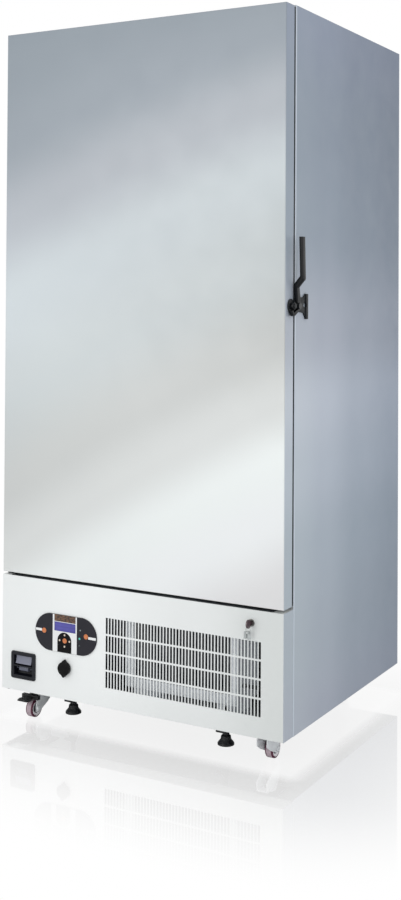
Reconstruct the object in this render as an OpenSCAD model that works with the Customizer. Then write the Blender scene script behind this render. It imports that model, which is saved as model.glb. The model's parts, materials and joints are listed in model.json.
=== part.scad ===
// Upright laboratory freezer on castors: one insulated door, a machine compartment behind a lower panel.
// The frame stands on the floor at z = 0, with the front facing -Y and the door latch on the +X side.

/* [Cabinet] */
// Width of the cabinet
cabinet_w = 880; // [850:2:940]
// Height of the cabinet above the castors
cabinet_h = 1850; // [1750:5:1950]
// Depth of the cabinet behind its front face
cabinet_d = 738; // [715:1:800]
// Height of the castors under the cabinet
castor_h = 80; // [80:1:84]
// Thickness of the outer steel sheet
sheet_t = 1.5; // [1:0.1:2]
// Thickness of each insulated side wall
side_wall = 95; // [88:1:105]
// Thickness of the insulated roof
top_wall = 90; // [85:1:120]
// Thickness of the insulated floor
floor_wall = 95; // [85:1:120]
// Thickness of the insulated back
back_wall = 95; // [80:1:110]
// Thickness of the inner liner sheet
liner_t = 1.2; // [0.8:0.1:2]
// Depth of the plastic frame round the cabinet's mouth
frame_t = 12; // [8:1:18]

/* [Door] */
// Thickness of the door's outer pan
door_t = 46; // [40:1:52]
// Space between the door's back and the cabinet, filled by the gasket
door_gap = 9; // [8:0.5:12]
// Drop of the door's top edge below the cabinet's top
door_drop = 3; // [3:0.5:8]
// Gap between the door and the lower panel
panel_gap = 8.3; // [8:0.1:12]
// Depth of the raised plug on the door's back
plug_depth = 21; // [15:1:24]
// Clearance round the plug inside the cabinet's mouth
plug_gap = 12; // [8:0.5:16]
// Distance of the gasket from the door's edges
gasket_inset = 22; // [20:0.5:26]
// Width of the gasket
gasket_w = 22; // [16:1:26]
// Distance of the hinge axis from the door's side and front
hinge_inset = 16; // [14:0.5:18]
// Radius of the hinge pins
hinge_pin_r = 4; // [3:0.25:5]

/* [Lower panel] */
// Height of the lower panel
panel_h = 319; // [312:1:330]
// Thickness of the panel sheet
panel_t = 1.5; // [1:0.1:2]
// Grille's left edge, from the panel's left edge
grille_x = 349.5; // [345:0.5:352]
// Grille's bottom edge, above the cabinet's bottom
grille_z = 54.5; // [48:0.5:60]
// Plain margin between the grille and the panel's right edge
grille_margin = 63; // [60:1:75]
// Rows of slots in the grille
slot_rows = 4; // [3:1:4]
// Distance from slot to slot
slot_pitch = 9.6; // [9.2:0.1:9.8]
// Width of a slot
slot_w = 6.3; // [4:0.1:7]
// Height of a slot
slot_h = 43; // [36:1:44]
// Height of the bars between the rows
slot_bar = 5; // [4:0.5:8]

/* [Controls] */
// Width of the oval control fascia
fascia_w = 204; // [198:1:208]
// Height of the oval control fascia
fascia_h = 102; // [100:1:108]
// Fascia centre, from the panel's left edge
fascia_x = 219.5; // [216:0.5:222]
// Fascia centre, above the cabinet's bottom
fascia_z = 180; // [176:1:186]
// Thickness of the fascia
fascia_t = 3; // [2:0.5:4]
// Radius of the round keys
key_r = 7; // [5:0.5:8]
// Travel of the round keys
key_travel = 1; // [0.5:0.1:1]
// Radius of the selector knob
knob_r = 18.5; // [16:0.5:20]
// Projection of the selector knob
knob_t = 12.5; // [9:0.5:18]
// Width of the switch housing
switch_w = 83; // [78:1:86]
// Height of the switch housing
switch_h = 75; // [72:1:80]
// Lock centre, from the panel's right edge
lock_inset = 91; // [84:1:98]
// Lock centre, above the cabinet's bottom
lock_z = 287; // [284:1:290]

/* [Latch] */
// Height of the latch's pivot above the cabinet's bottom
latch_height = 1085; // [900:5:1200]
// Thickness of the cast lever
lever_t = 9; // [7:0.5:10]
// Reach of the lever above its pivot
lever_reach = 175; // [150:1:220]
// Space for the fingers behind the grip
finger_gap = 18; // [15:1:30]
// Radius of the strike roller
roller_r = 9; // [7:0.25:9.5]
// Radius of the strike's base disc
strike_r = 18; // [15:0.5:18]

/* [Castors and feet] */
// Radius of a castor's wheel
wheel_r = 25; // [22:0.5:26]
// Width of a castor's wheel
wheel_w = 22; // [18:1:22]
// Distance of a castor's wheel behind its swivel
trail = 30; // [24:1:32]
// Distance of the swivels from the cabinet's sides
castor_inset = 80; // [78:1:90]
// Distance of the rear castors from the cabinet's sides
rear_castor_inset = 150; // [140:1:180]
// Distance of the front swivels behind the cabinet's front face
castor_y = 18; // [16:1:22]
// Distance of the levelling feet inside the swivels
foot_spacing = 118; // [118:1:160]
// Radius of a foot's base
foot_r = 22; // [18:0.5:26]
// Height of the raised feet above the floor
foot_lift = 23; // [15:1:25]

/* [Inside] */
// Number of shelves
shelf_count = 3; // [3]
// Thickness of the inner doors
inner_door_t = 20; // [14:1:24]
// Radius of the refrigerant tube
tube_r = 4.75; // [3:0.25:5]
// Passes of the evaporator tube on each side, an even number
coil_passes = 8; // [4:2:10]
// Radius of a compressor's shell
shell_r = 95; // [80:1:98]
// Radius of the fan
fan_r = 108; // [90:1:112]
// Number of fan blades
fan_blade_count = 5; // [3:1:7]

/* [Fits] */
// Radial clearance of a turning fit
turning_gap = 0.05; // [0.02:0.01:0.1]
// Clearance between pieces that pass each other
pass_gap = 0.6; // [0.4:0.1:1]

/* [Hidden] */
$fn = 48;

// Cabinet planes
half_w = cabinet_w / 2;
in_x = half_w - sheet_t;
box_z = castor_h;
top_z = box_z + cabinet_h;
back_y = cabinet_d - sheet_t;
front_y = -door_t - door_gap;

// Lower panel, raised a little off the cabinet's bottom line
panel_lift = 1;
panel_back_gap = 1;
panel_cut_back = 6;
panel_z0 = box_z + panel_lift;
panel_z1 = panel_z0 + panel_h;
function from_left(x) = -half_w + x;
function above_box(z) = box_z + z;

// Ceiling of the machine compartment, with a lip that the panel's lock holds on to
deck_t = 2;
deck_z = panel_z1 + 5;
foam_z0 = deck_z + deck_t;

// Door
door_z0 = panel_z1 + panel_gap;
door_z1 = top_z - door_drop;
door_back = -door_gap;
door_edge_r = 3;
hinge_x = -half_w + hinge_inset;
hinge_y = front_y + hinge_inset;
bush_wall = 3;
bush_depth = 14;
bush_flange_r = hinge_pin_r + 6;
bush_flange_t = 1.6;
bracket_t = 4;
bracket_r = hinge_pin_r + 4;
bracket_leg_t = 3;
bracket_leg_h = 18;
bracket_leg_w = 50;

// Notch in the door's top corner, where the upper bracket reaches in
notch_x = hinge_x + bush_flange_r + 1;
notch_z = door_z1 - 6;

// Inner liner
liner_x = half_w - side_wall;
liner_y = cabinet_d - back_wall;
liner_z0 = foam_z0 + floor_wall;
liner_z1 = top_z - top_wall;
coil_gap = 2 * tube_r + 2.5;

// Inner doors, hinged at the left just behind the door's plug
inner_door_y = 28;
inner_pin_r = 3;
inner_pin_inset = 4;
inner_edge_gap = 14;
inner_x0 = -liner_x + inner_edge_gap;
inner_x1 = liner_x - 8;
inner_pin_x = inner_x0 + inner_pin_inset;
inner_pin_y = inner_door_y + inner_pin_inset;
inner_block_h = 7;
inner_gap = 1;
mid_z = (liner_z0 + liner_z1) / 2;

// Shelves rest on angle rails
shelf_edge_h = 20;
shelf_y0 = inner_door_y + inner_door_t + 4;
shelf_pitch = (liner_z1 - liner_z0) / (shelf_count + 1);
function shelf_z(i) = liner_z0 + i * shelf_pitch;

// Grille and the openings behind the fascia
slot_cols = floor((cabinet_w - grille_x - grille_margin + slot_pitch - slot_w) / slot_pitch);
grille_w = slot_cols * slot_pitch - (slot_pitch - slot_w);
lock_x = cabinet_w - lock_inset;
grille_h = slot_rows * (slot_h + slot_bar) - slot_bar;
display_w = 71;
display_h = 25;
display_z = fascia_z + 18.5;
display_x = fascia_x - 2;
enter_x = fascia_x - 2.5;
enter_z = fascia_z - 18.5;
left_key_x = fascia_x - 72;
left_key_z = fascia_z + 1.5;
right_key_x = fascia_x + 68;
right_key_z = fascia_z + 2.5;
key_flange_r = key_r + 1.6;
key_flange_t = 1.4;
key_proud = 1.4;
key_hole_gap = 0.3;
board_y = front_y + 7;
board_t = 1.6;
knob_x = fascia_x - 1.5;
knob_z = fascia_z - 93;
knob_shaft_r = 3;
knob_seat_gap = 0.4;

// Switch housing
switch_x = 34 + switch_w / 2;
switch_z = 35 + switch_h / 2;
switch_rim = 10;
switch_proud = 4;
switch_floor_y = front_y + 17;
switch_depth = 24;
rocker_h = 24;
rocker_w = 52;
rocker_tilt = 12;
rocker_y = front_y + 7;
rocker_z = switch_z + switch_h / 2 - switch_rim - rocker_h / 2 - 2;
toggle_w = 30;
toggle_tilt = 15;
toggle_y = front_y + 11;
toggle_z = switch_z - switch_h / 2 + switch_rim + 16;
divider_z = rocker_z - rocker_h / 2 - 4.5;
switch_pin_r = 2;

// Panel lock and its key; the cam turns up behind the strip under the deck, which ends just above the barrel
barrel_r = 8;
deck_lip_z = above_box(lock_z) + barrel_r + 1.5;
plug_r = 5;
barrel_proud = 2;
cam_y = deck_t + 2;
cam_t = 3;
cam_len = 24;
cam_w = 12;
bow_r = 11;
bow_t = 2.4;
bow_y = front_y - 16;
ring_wire_r = 0.8;
ring_r = 7;
tag_turn = 40;
tag_hole_r = 2.8;
tag_t = 1.2;
bow_hole_r = 3.2;
bow_hole_drop = 6;

// Latch, with the strike on the door and the lever's pivot on the cabinet
latch_z = above_box(latch_height);
strike_y = -27;
strike_t = 3.4;
strike_pin_r = 3;
latch_pin_r = 4;
lever_x0 = half_w + strike_t + pass_gap;
lever_x1 = lever_x0 + lever_t;
grip_x0 = half_w + finger_gap;
hub_r = 11;
hook_in_r = -strike_y + roller_r + 1.2;
hook_out_r = hook_in_r + 6;
nose_angle = 180 + asin((roller_r + 2) / (hook_in_r + 3));
latch_flange_y = [56, 68];
latch_flange_t = 6;

// Castors
castor_x = half_w - castor_inset;
fork_t = 2.5;
fork_x = wheel_w / 2 + 2;
plate_t = 3;
king_r = 5;
race_h = 7;
race_r = 24;
fork_z1 = castor_h - plate_t - race_h - 0.3;
fork_z0 = fork_z1 - 3;
axle_r = 4;
pedal_pin_r = 3;
pedal_y = -16;
pedal_z = fork_z0 - 7.5;
pedal_reach = 86;
rear_castor_x = half_w - rear_castor_inset;
rear_castor_y = cabinet_d - 75;

// Levelling feet
foot_x = castor_x - foot_spacing;
foot_y = 13;
stem_r = 6;
boss_r = 10;
boss_h = 22;
tray_t = 3;
tray_edge = 30;
tray_top = box_z + tray_t;

// Machine compartment: electrical box, condenser duct behind the grille, fan, compressors, heat exchanger
box_w = 130;
box_h = 180;
box_y = [100, 300];
duct_x0 = from_left(grille_x) + 13.5;
duct_w = 343;
duct_x1 = duct_x0 + duct_w;
duct_z0 = above_box(40);
duct_z1 = duct_z0 + 258;
duct_y0 = 25;
duct_y1 = 150;
duct_t = 1.5;
duct_flange = 15;
duct_flange_wide = 27;
fan_x = (duct_x0 + duct_x1) / 2;
fan_z = (duct_z0 + duct_z1) / 2;
fan_hole_r = fan_r + 10;
fan_y0 = duct_y1 - 12;
fan_depth = 34;
fan_shaft_r = 4;
fan_bore_gap = turning_gap;
motor_y1 = duct_y1 + 55;
motor_y0 = motor_y1 - 30;
core_y0 = duct_y0 + 18;
core_d = 42;
core_pitch = 6;
core_fin = 1.2;
comp_y = cabinet_d - 268;
comp_x = 170;
comp_z0 = tray_top + 12;
foot_span_x = 75;
foot_span_y = 60;
stud_r = 4;
grommet_r = 10;
grommet_h = 12;
stub_top = comp_z0 + 250;
stub_x = 55;
hx_x = 40;
hx_y = [cabinet_d - 148, cabinet_d - 48];
hx_h = 250;
hx_top = tray_top + hx_h;
evap_in_x = -20;
evap_out_x = 140;
evap_y = liner_y + liner_t + coil_gap / 2;
evap_x = liner_x + liner_t + coil_gap / 2;
evap_z0 = deck_z - 15;
coil_front = 60;
coil_step = (liner_z1 - liner_z0 - 120) / (coil_passes - 1);
elbow_r = tube_r + 0.8;
line_hole_r = elbow_r + 1.2;

// The row's origin is the middle of the whole outline, on the floor
reach_x = grip_x0 + lever_t;
reach_front = bow_y - bow_r;
origin_x = (reach_x - half_w) / 2;
origin_y = (reach_front + cabinet_d) / 2;
module in_frame() translate([-origin_x, -origin_y, 0]) children();

// Building blocks, each between two limits along an axis
module slab(x, y, z) translate([x[0], y[0], z[0]]) cube([x[1] - x[0], y[1] - y[0], z[1] - z[0]]);
module rod_x(r, x, y, z) translate([x[0], y, z]) rotate([0, 90, 0]) cylinder(r = r, h = x[1] - x[0]);
module rod_y(r, x, y, z) translate([x, y[0], z]) rotate([-90, 0, 0]) cylinder(r = r, h = y[1] - y[0]);
module rod_z(r, x, y, z) translate([x, y, z[0]]) cylinder(r = r, h = z[1] - z[0]);

// An outline in Y and Z, made thick along X, and one in X and Z, made thick along Y
module thick_x(x) translate([x[0], 0, 0]) rotate([90, 0, 90]) linear_extrude(x[1] - x[0]) children();
module thick_y(y) translate([0, y[1], 0]) rotate([90, 0, 0]) linear_extrude(y[1] - y[0]) children();

module round_rect(x, y, r) {
    translate([x[0] + r, y[0]]) square([x[1] - x[0] - 2 * r, y[1] - y[0]]);
    translate([x[0], y[0] + r]) square([x[1] - x[0], y[1] - y[0] - 2 * r]);
    for (cx = [x[0] + r, x[1] - r], cy = [y[0] + r, y[1] - r]) translate([cx, cy]) circle(r);
}

// A tube along points that differ in one coordinate at a time, with elbow fittings at its corners
module tube(points) {
    for (i = [0 : len(points) - 2]) {
        run = points[i + 1] - points[i];
        translate(points[i])
            rotate([0, acos(run[2] / norm(run)), atan2(run[1], run[0])])
                cylinder(r = tube_r, h = norm(run));
    }
    for (i = [1 : len(points) - 2]) translate(points[i]) sphere(elbow_r);
}

// Cabinet
module outer_wrap() {
    color("lightslategray") difference() {
        slab([-half_w, half_w], [0, back_y], [box_z, top_z]);
        slab([-in_x, in_x], [-1, back_y + 1], [box_z - 1, top_z - sheet_t]);
    }
}

module rear_panel() {
    vent_w = 100;
    vent_pitch_x = 130;
    vent_pitch_z = 22;
    inlet_x = from_left(inlet_from_left);
    color("slategray") difference() {
        slab([-half_w, half_w], [back_y, cabinet_d], [box_z, top_z]);
        for (i = [-1 : 2], j = [0 : 8])
            slab([i * vent_pitch_x, i * vent_pitch_x + vent_w], [back_y - 1, cabinet_d + 1],
                 [above_box(70) + j * vent_pitch_z, above_box(76) + j * vent_pitch_z]);
        slab([inlet_x - inlet_w / 2, inlet_x + inlet_w / 2], [back_y - 1, cabinet_d + 1],
             [inlet_z - inlet_h / 2, inlet_z + inlet_h / 2]);
    }
}

module deck_plate() {
    color("lightgray") {
        difference() {
            slab([-in_x, in_x], [0, back_y], [deck_z, foam_z0]);
            for (x = [evap_in_x, evap_out_x]) rod_z(line_hole_r, x, evap_y, [deck_z - 1, foam_z0 + 1]);
        }
        slab([-in_x, in_x], [0, deck_t], [deck_lip_z, deck_z - 0.2]);
    }
}

module base_tray() {
    color("lightgray") difference() {
        union() {
            slab([-in_x, in_x], [0, back_y], [box_z, tray_top]);
            for (y = [0, back_y - 2]) slab([-in_x, in_x], [y, y + 2], [box_z, box_z + tray_edge]);
            for (x = [-in_x, in_x - 2]) slab([x, x + 2], [0, back_y], [box_z, box_z + tray_edge]);
            for (x = [-foot_x, foot_x]) rod_z(boss_r, x, foot_y, [box_z, tray_top + boss_h]);
            for (cx = [-comp_x, comp_x], dx = [-foot_span_x, foot_span_x], dy = [-foot_span_y, foot_span_y])
                rod_z(stud_r, cx + dx, comp_y + dy, [box_z, comp_z0 + 10]);
        }
        for (x = [-foot_x, foot_x])
            rod_z(stem_r + turning_gap, x, foot_y, [box_z - 1, tray_top + boss_h + 1]);
    }
}

module cabinet_foam() {
    color("khaki") difference() {
        slab([-in_x, in_x], [frame_t, back_y], [foam_z0, top_z - sheet_t]);
        slab([-liner_x - liner_t - coil_gap, liner_x + liner_t + coil_gap],
             [frame_t - 1, liner_y + liner_t + coil_gap],
             [liner_z0 - liner_t, liner_z1 + liner_t]);
        for (x = [evap_in_x, evap_out_x]) rod_z(line_hole_r, x, evap_y, [foam_z0 - 1, liner_z0]);
    }
}

module inner_liner() {
    color("silver") difference() {
        slab([-liner_x - liner_t, liner_x + liner_t], [0, liner_y + liner_t],
             [liner_z0 - liner_t, liner_z1 + liner_t]);
        slab([-liner_x, liner_x], [-1, liner_y], [liner_z0, liner_z1]);
    }
}

module front_frame() {
    color("gainsboro") difference() {
        slab([-in_x, in_x], [0, frame_t], [foam_z0, top_z - sheet_t]);
        slab([-liner_x - liner_t, liner_x + liner_t], [-1, frame_t + 1],
             [liner_z0 - liner_t, liner_z1 + liner_t]);
    }
}

// The tube climbs in passes round the left and comes down round the right
module evaporator_coil() {
    function pass_z(i) = liner_z0 + 60 + i * coil_step;
    function corner(side, x, i) = [side * evap_x, evap_y, pass_z(i)];
    function pass(side, x, i, out) = out
        ? [[x, evap_y, pass_z(i)], corner(side, x, i), [side * evap_x, coil_front, pass_z(i)]]
        : [[side * evap_x, coil_front, pass_z(i)], corner(side, x, i), [x, evap_y, pass_z(i)]];
    up = [for (i = [0 : coil_passes - 1]) each pass(-1, evap_in_x, i, i % 2 == 0)];
    down = [for (i = [coil_passes - 1 : -1 : 0]) each pass(1, evap_out_x, i, i % 2 == 1)];
    route = concat([[evap_in_x, evap_y, evap_z0]], up, down, [[evap_out_x, evap_y, evap_z0]]);
    color("peru") tube(route);
}

module shelves() {
    color("silver") for (i = [1 : shelf_count]) difference() {
        slab([-liner_x + 2, liner_x - 2], [shelf_y0, liner_y - 6], [shelf_z(i) - shelf_edge_h, shelf_z(i)]);
        slab([-liner_x + 4, liner_x - 4], [shelf_y0 + 2, liner_y - 8],
             [shelf_z(i) - shelf_edge_h - 1, shelf_z(i) - 2]);
    }
}

module shelf_rails() {
    rail_t = 1.5;
    rail_w = 20;
    color("darkgray") for (i = [1 : shelf_count], s = [-1, 1]) {
        rail_z = shelf_z(i) - shelf_edge_h - rail_t;
        out = s * liner_x;
        slab([min(out, out - s * rail_w), max(out, out - s * rail_w)], [shelf_y0 + 18, liner_y - 20],
             [rail_z, rail_z + rail_t]);
        slab([min(out, out - s * rail_t), max(out, out - s * rail_t)], [shelf_y0 + 18, liner_y - 20],
             [rail_z - rail_w, rail_z]);
    }
}

// Hinges
door_bracket_z1 = door_z0 - bush_flange_t - 0.3;
door_bracket_z0 = door_bracket_z1 - bracket_t;
top_bracket_z0 = notch_z + bush_flange_t + 0.3;
top_bracket_z1 = top_bracket_z0 + bracket_t;
foot_bracket_z0 = box_z - bracket_leg_t;

// A flat arm that reaches forward from the cabinet's face to the hinge axis
module hinge_arm(z, back) {
    rod_z(bracket_r, hinge_x, hinge_y, z);
    slab([hinge_x - bracket_r, hinge_x + bracket_r], [hinge_y, back], z);
}

module hinge_brackets() {
    leg_x = [hinge_x - bracket_r, hinge_x - bracket_r + bracket_leg_w];
    color("dimgray") {
        difference() {
            union() {
                hinge_arm([door_bracket_z0, door_bracket_z1], 0);
                slab(leg_x, [-bracket_leg_t, 0], [door_bracket_z0, door_bracket_z0 + bracket_leg_h]);
            }
            rod_z(hinge_pin_r, hinge_x, hinge_y, [door_bracket_z0 - 1, door_bracket_z1 + 1]);
        }
        difference() {
            union() {
                hinge_arm([top_bracket_z0, top_bracket_z1], 0);
                slab(leg_x, [-bracket_leg_t, 0], [top_bracket_z1 - bracket_leg_h, top_bracket_z1]);
            }
            rod_z(hinge_pin_r, hinge_x, hinge_y, [top_bracket_z0 - 1, top_bracket_z1 + 1]);
        }
        difference() {
            hinge_arm([foot_bracket_z0, box_z], 40);
            rod_z(hinge_pin_r, hinge_x, hinge_y, [foot_bracket_z0 - 1, box_z + 1]);
        }
        for (z = [liner_z0, mid_z - inner_block_h / 2, liner_z1 - inner_block_h]) difference() {
            slab([-liner_x, inner_pin_x + 7], [inner_pin_y - 7, inner_pin_y + 12], [z, z + inner_block_h]);
            rod_z(inner_pin_r, inner_pin_x, inner_pin_y, [z - 1, z + inner_block_h + 1]);
        }
    }
}

module pivot_pins() {
    inner_reach = 12;
    color("gray") {
        rod_z(hinge_pin_r, hinge_x, hinge_y, [notch_z - bush_depth, top_bracket_z1]);
        rod_z(hinge_pin_r, hinge_x, hinge_y, [panel_z1 - bush_depth, door_z0 + bush_depth]);
        rod_z(hinge_pin_r, hinge_x, hinge_y, [foot_bracket_z0, panel_z0 + bush_depth]);
        rod_z(inner_pin_r, inner_pin_x, inner_pin_y, [liner_z0, liner_z0 + inner_block_h + inner_reach]);
        rod_z(inner_pin_r, inner_pin_x, inner_pin_y, [mid_z - inner_block_h / 2 - inner_reach,
                                                      mid_z + inner_block_h / 2 + inner_reach]);
        rod_z(inner_pin_r, inner_pin_x, inner_pin_y, [liner_z1 - inner_block_h - inner_reach, liner_z1]);
        rod_x(latch_pin_r, [half_w, lever_x1 + 1], 0, latch_z);
        rod_x(latch_pin_r + 4, [lever_x1 + 0.3, lever_x1 + 3], 0, latch_z);
    }
}

// Door
plug_x = liner_x - plug_gap;
plug_z = [liner_z0 + plug_gap, liner_z1 - plug_gap];
plug_wall = 2;

module hinge_notch(wall) {
    slab([-half_w - 1, notch_x + wall], [front_y + sheet_t, door_back + 1], [notch_z - wall, top_z]);
}

module door_skin() {
    color("lightsteelblue") difference() {
        union() {
            difference() {
                translate([0, 0, door_z0]) linear_extrude(door_z1 - door_z0) {
                    round_rect([-half_w, half_w], [front_y, door_back], door_edge_r);
                    translate([-half_w, door_back - door_edge_r]) square([cabinet_w, door_edge_r]);
                }
                slab([-in_x, in_x], [front_y + sheet_t, door_back + 1],
                     [door_z0 + sheet_t, door_z1 - sheet_t]);
            }
            slab([-in_x, notch_x + sheet_t], [front_y + sheet_t, door_back - sheet_t],
                 [notch_z - sheet_t, door_z1]);
        }
        hinge_notch(0);
        for (z = [door_z0, notch_z])
            rod_z(hinge_pin_r + bush_wall, hinge_x, hinge_y, [z - 2 * sheet_t, z + 2 * sheet_t]);
    }
}

module door_foam() {
    color("khaki") difference() {
        union() {
            slab([-in_x, in_x], [front_y + sheet_t, door_back - sheet_t],
                 [door_z0 + sheet_t, door_z1 - sheet_t]);
            slab([-plug_x + plug_wall, plug_x - plug_wall], [door_back - sheet_t, plug_depth - plug_wall],
                 [plug_z[0] + plug_wall, plug_z[1] - plug_wall]);
        }
        hinge_notch(sheet_t);
        for (z = [[door_z0, door_z0 + bush_depth + 2], [notch_z - bush_depth - 2, notch_z]])
            rod_z(hinge_pin_r + bush_wall, hinge_x, hinge_y, z);
    }
}

module door_liner() {
    color("whitesmoke") difference() {
        union() {
            slab([-in_x, in_x], [door_back - sheet_t, door_back], [door_z0 + sheet_t, door_z1 - sheet_t]);
            slab([-plug_x, plug_x], [door_back, plug_depth], plug_z);
        }
        slab([-plug_x + plug_wall, plug_x - plug_wall], [door_back - 2 * sheet_t, plug_depth - plug_wall],
             [plug_z[0] + plug_wall, plug_z[1] - plug_wall]);
        hinge_notch(0);
    }
}

module door_gasket() {
    seal_x = half_w - gasket_inset;
    seal_z = [door_z0 + gasket_inset, door_z1 - gasket_inset];
    color("darkslategray") difference() {
        slab([-seal_x, seal_x], [door_back, 0], seal_z);
        slab([-seal_x + gasket_w, seal_x - gasket_w], [door_back - 1, 1],
             [seal_z[0] + gasket_w, seal_z[1] - gasket_w]);
    }
}

module hinge_bushes() {
    color("ivory") difference() {
        union() {
            for (z = [[door_z0, door_z0 + bush_depth], [notch_z - bush_depth, notch_z]])
                rod_z(hinge_pin_r + bush_wall, hinge_x, hinge_y, z);
            rod_z(bush_flange_r, hinge_x, hinge_y, [door_z0 - bush_flange_t, door_z0]);
            rod_z(bush_flange_r, hinge_x, hinge_y, [notch_z, notch_z + bush_flange_t]);
        }
        rod_z(hinge_pin_r + turning_gap, hinge_x, hinge_y,
              [door_z0 - bush_flange_t - 1, door_z1 + bush_flange_t + 1]);
    }
}

// Latch
module strike_base() {
    color("dimgray") {
        rod_x(strike_r, [half_w, half_w + strike_t], strike_y, latch_z);
        rod_x(strike_pin_r, [half_w, lever_x1 + 1], strike_y, latch_z);
        rod_x(strike_pin_r + 4, [lever_x1 + 0.4, lever_x1 + 2.4], strike_y, latch_z);
    }
}

module strike_roller() {
    color("black") difference() {
        rod_x(roller_r, [lever_x0, lever_x1], strike_y, latch_z);
        rod_x(strike_pin_r + turning_gap, [lever_x0 - 1, lever_x1 + 1], strike_y, latch_z);
    }
}

module latch_bracket() {
    flange_z = [-34, 31];
    color("dimgray") difference() {
        translate([0, 0, latch_z]) difference() {
            union() {
                thick_x([half_w, half_w + strike_t]) {
                    circle(latch_pin_r + 4);
                    polygon([[0, 8], [8, 20], [46, 23], [latch_flange_y[0], flange_z[1]],
                             [latch_flange_y[1], flange_z[1]], [latch_flange_y[1], flange_z[0]],
                             [latch_flange_y[0] + 4, flange_z[0]], [46, -18], [6, -14], [0, -8]]);
                }
                thick_x([half_w, half_w + latch_flange_t]) round_rect(latch_flange_y, flange_z, 3);
            }
            thick_x([half_w - 1, half_w + latch_flange_t + 1])
                polygon([[43, 0], [47, 6], [52, 9], [58, 7], [59, -3], [50, -4]]);
        }
        rod_x(latch_pin_r, [half_w - 1, half_w + strike_t + 1], 0, latch_z);
    }
}

// The hook stands clear below the strike roller at rest, and swings up in front of it as the lever leans back
module latch_lever() {
    knee = [-7, 51];
    elbow = [0, 72];
    grip_w = 16;
    hook_end = nose_angle + 17;
    tip_y = -5.5;
    x_low = [lever_x0, lever_x1];
    x_grip = [grip_x0, grip_x0 + lever_t];
    color("black") translate([0, 0, latch_z]) difference() {
        union() {
            thick_x(x_low) {
                circle(hub_r);
                difference() {
                    intersection() {
                        circle(hook_out_r);
                        polygon([for (t = [0, 1, 3]) t == 0 ? [0, 0] : 2 * hook_out_r *
                            [cos(t == 1 ? nose_angle : hook_end), sin(t == 1 ? nose_angle : hook_end)]]);
                    }
                    circle(hook_in_r);
                }
                polygon([[0, -6], [hook_in_r * cos(hook_end - 4), hook_in_r * sin(hook_end - 4)],
                         [hook_out_r * cos(hook_end), hook_out_r * sin(hook_end)],
                         [hook_in_r * cos(hook_end) + 3, hook_out_r * sin(hook_end) - 2.5], [4, -10.2]]);
                polygon([[-9, 4], [knee[0] - 7, knee[1]], [knee[0] + 7, knee[1]], [10, 4]]);
            }
            hull() {
                rod_x(7, x_low, knee[0], knee[1], $fn = 32);
                rod_x(7.5, x_grip, elbow[0], elbow[1], $fn = 32);
            }
            hull() {
                rod_x(grip_w / 2, x_grip, elbow[0], elbow[1], $fn = 32);
                slab(x_grip, [tip_y - grip_w / 2, tip_y + grip_w / 2], [lever_reach - 6, lever_reach]);
            }
        }
        rod_x(latch_pin_r + turning_gap, [lever_x0 - 1, lever_x1 + 1], 0, 0);
    }
}

// Inner doors
module inner_door(z) {
    color("silver") difference() {
        union() {
            slab([inner_x0, inner_x1], [inner_door_y, inner_door_y + inner_door_t], z);
            slab([inner_x1 - 60, inner_x1 - 20], [inner_door_y - 4, inner_door_y],
                 [(z[0] + z[1]) / 2 - 6, (z[0] + z[1]) / 2 + 6]);
        }
        rod_z(inner_pin_r + turning_gap, inner_pin_x, inner_pin_y, [z[0] - 1, z[0] + 14]);
        rod_z(inner_pin_r + turning_gap, inner_pin_x, inner_pin_y, [z[1] - 14, z[1] + 1]);
    }
}

module inner_door_lower() inner_door([liner_z0 + inner_block_h + inner_gap,
                                      mid_z - inner_block_h / 2 - inner_gap]);
module inner_door_upper() inner_door([mid_z + inner_block_h / 2 + inner_gap,
                                      liner_z1 - inner_block_h - inner_gap]);

// Lower panel
module slots() {
    for (i = [0 : slot_cols - 1], j = [0 : slot_rows - 1])
        translate([from_left(grille_x) + i * slot_pitch, above_box(grille_z) + j * (slot_h + slot_bar)])
            square([slot_w, slot_h]);
}

module front_panel() {
    inner_y = front_y + panel_t;
    back = -panel_back_gap;
    block = 2 * bracket_r;
    hinge_blocks = [[panel_z0, panel_z0 + bush_depth], [panel_z1 - bush_depth, panel_z1]];
    color("whitesmoke") difference() {
        union() {
            thick_y([front_y, inner_y]) difference() {
                translate([-half_w, panel_z0]) square([cabinet_w, panel_h]);
                slots();
            }
            for (z = [panel_z0, panel_z1 - panel_t])
                slab([-half_w, half_w], [front_y, back], [z, z + panel_t]);
            slab([half_w - panel_t, half_w], [front_y, back], [panel_z0, panel_z1]);
            slab([-half_w, -half_w + panel_t], [front_y, -panel_cut_back], [panel_z0, panel_z1]);
            for (z = hinge_blocks)
                slab([-half_w + panel_t, hinge_x + block / 2], [inner_y, hinge_y + block / 2 - 2], z);
        }
        slab([-half_w - 1, hinge_x + 3], [-panel_cut_back, 1], [panel_z0 - 1, panel_z1 + 1]);
        rod_z(hinge_pin_r + turning_gap, hinge_x, hinge_y, [panel_z0 - 1, panel_z0 + bush_depth + 1]);
        rod_z(hinge_pin_r + turning_gap, hinge_x, hinge_y, [panel_z1 - bush_depth - 1, panel_z1 + 1]);
        slab([from_left(display_x - display_w / 2 + 2), from_left(display_x + display_w / 2 - 2)],
             [front_y - 1, inner_y + 1],
             [above_box(display_z - display_h / 2 + 2), above_box(display_z + display_h / 2 - 2)]);
        for (k = key_places)
            rod_y(key_flange_r + key_hole_gap, from_left(k[0]), [front_y - 1, inner_y + 1], above_box(k[1]));
        rod_y(knob_shaft_r + key_hole_gap, from_left(knob_x), [front_y - 1, inner_y + 1], above_box(knob_z));
        rod_y(barrel_r, from_left(lock_x), [front_y - 1, inner_y + 1], above_box(lock_z));
        slab([from_left(switch_x - switch_w / 2 + 4), from_left(switch_x + switch_w / 2 - 4)],
             [front_y - 1, inner_y + 1],
             [above_box(switch_z - switch_h / 2 + 4), above_box(switch_z + switch_h / 2 - 4)]);
    }
}

key_places = [[enter_x, enter_z], [left_key_x, left_key_z], [right_key_x, right_key_z]];

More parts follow.
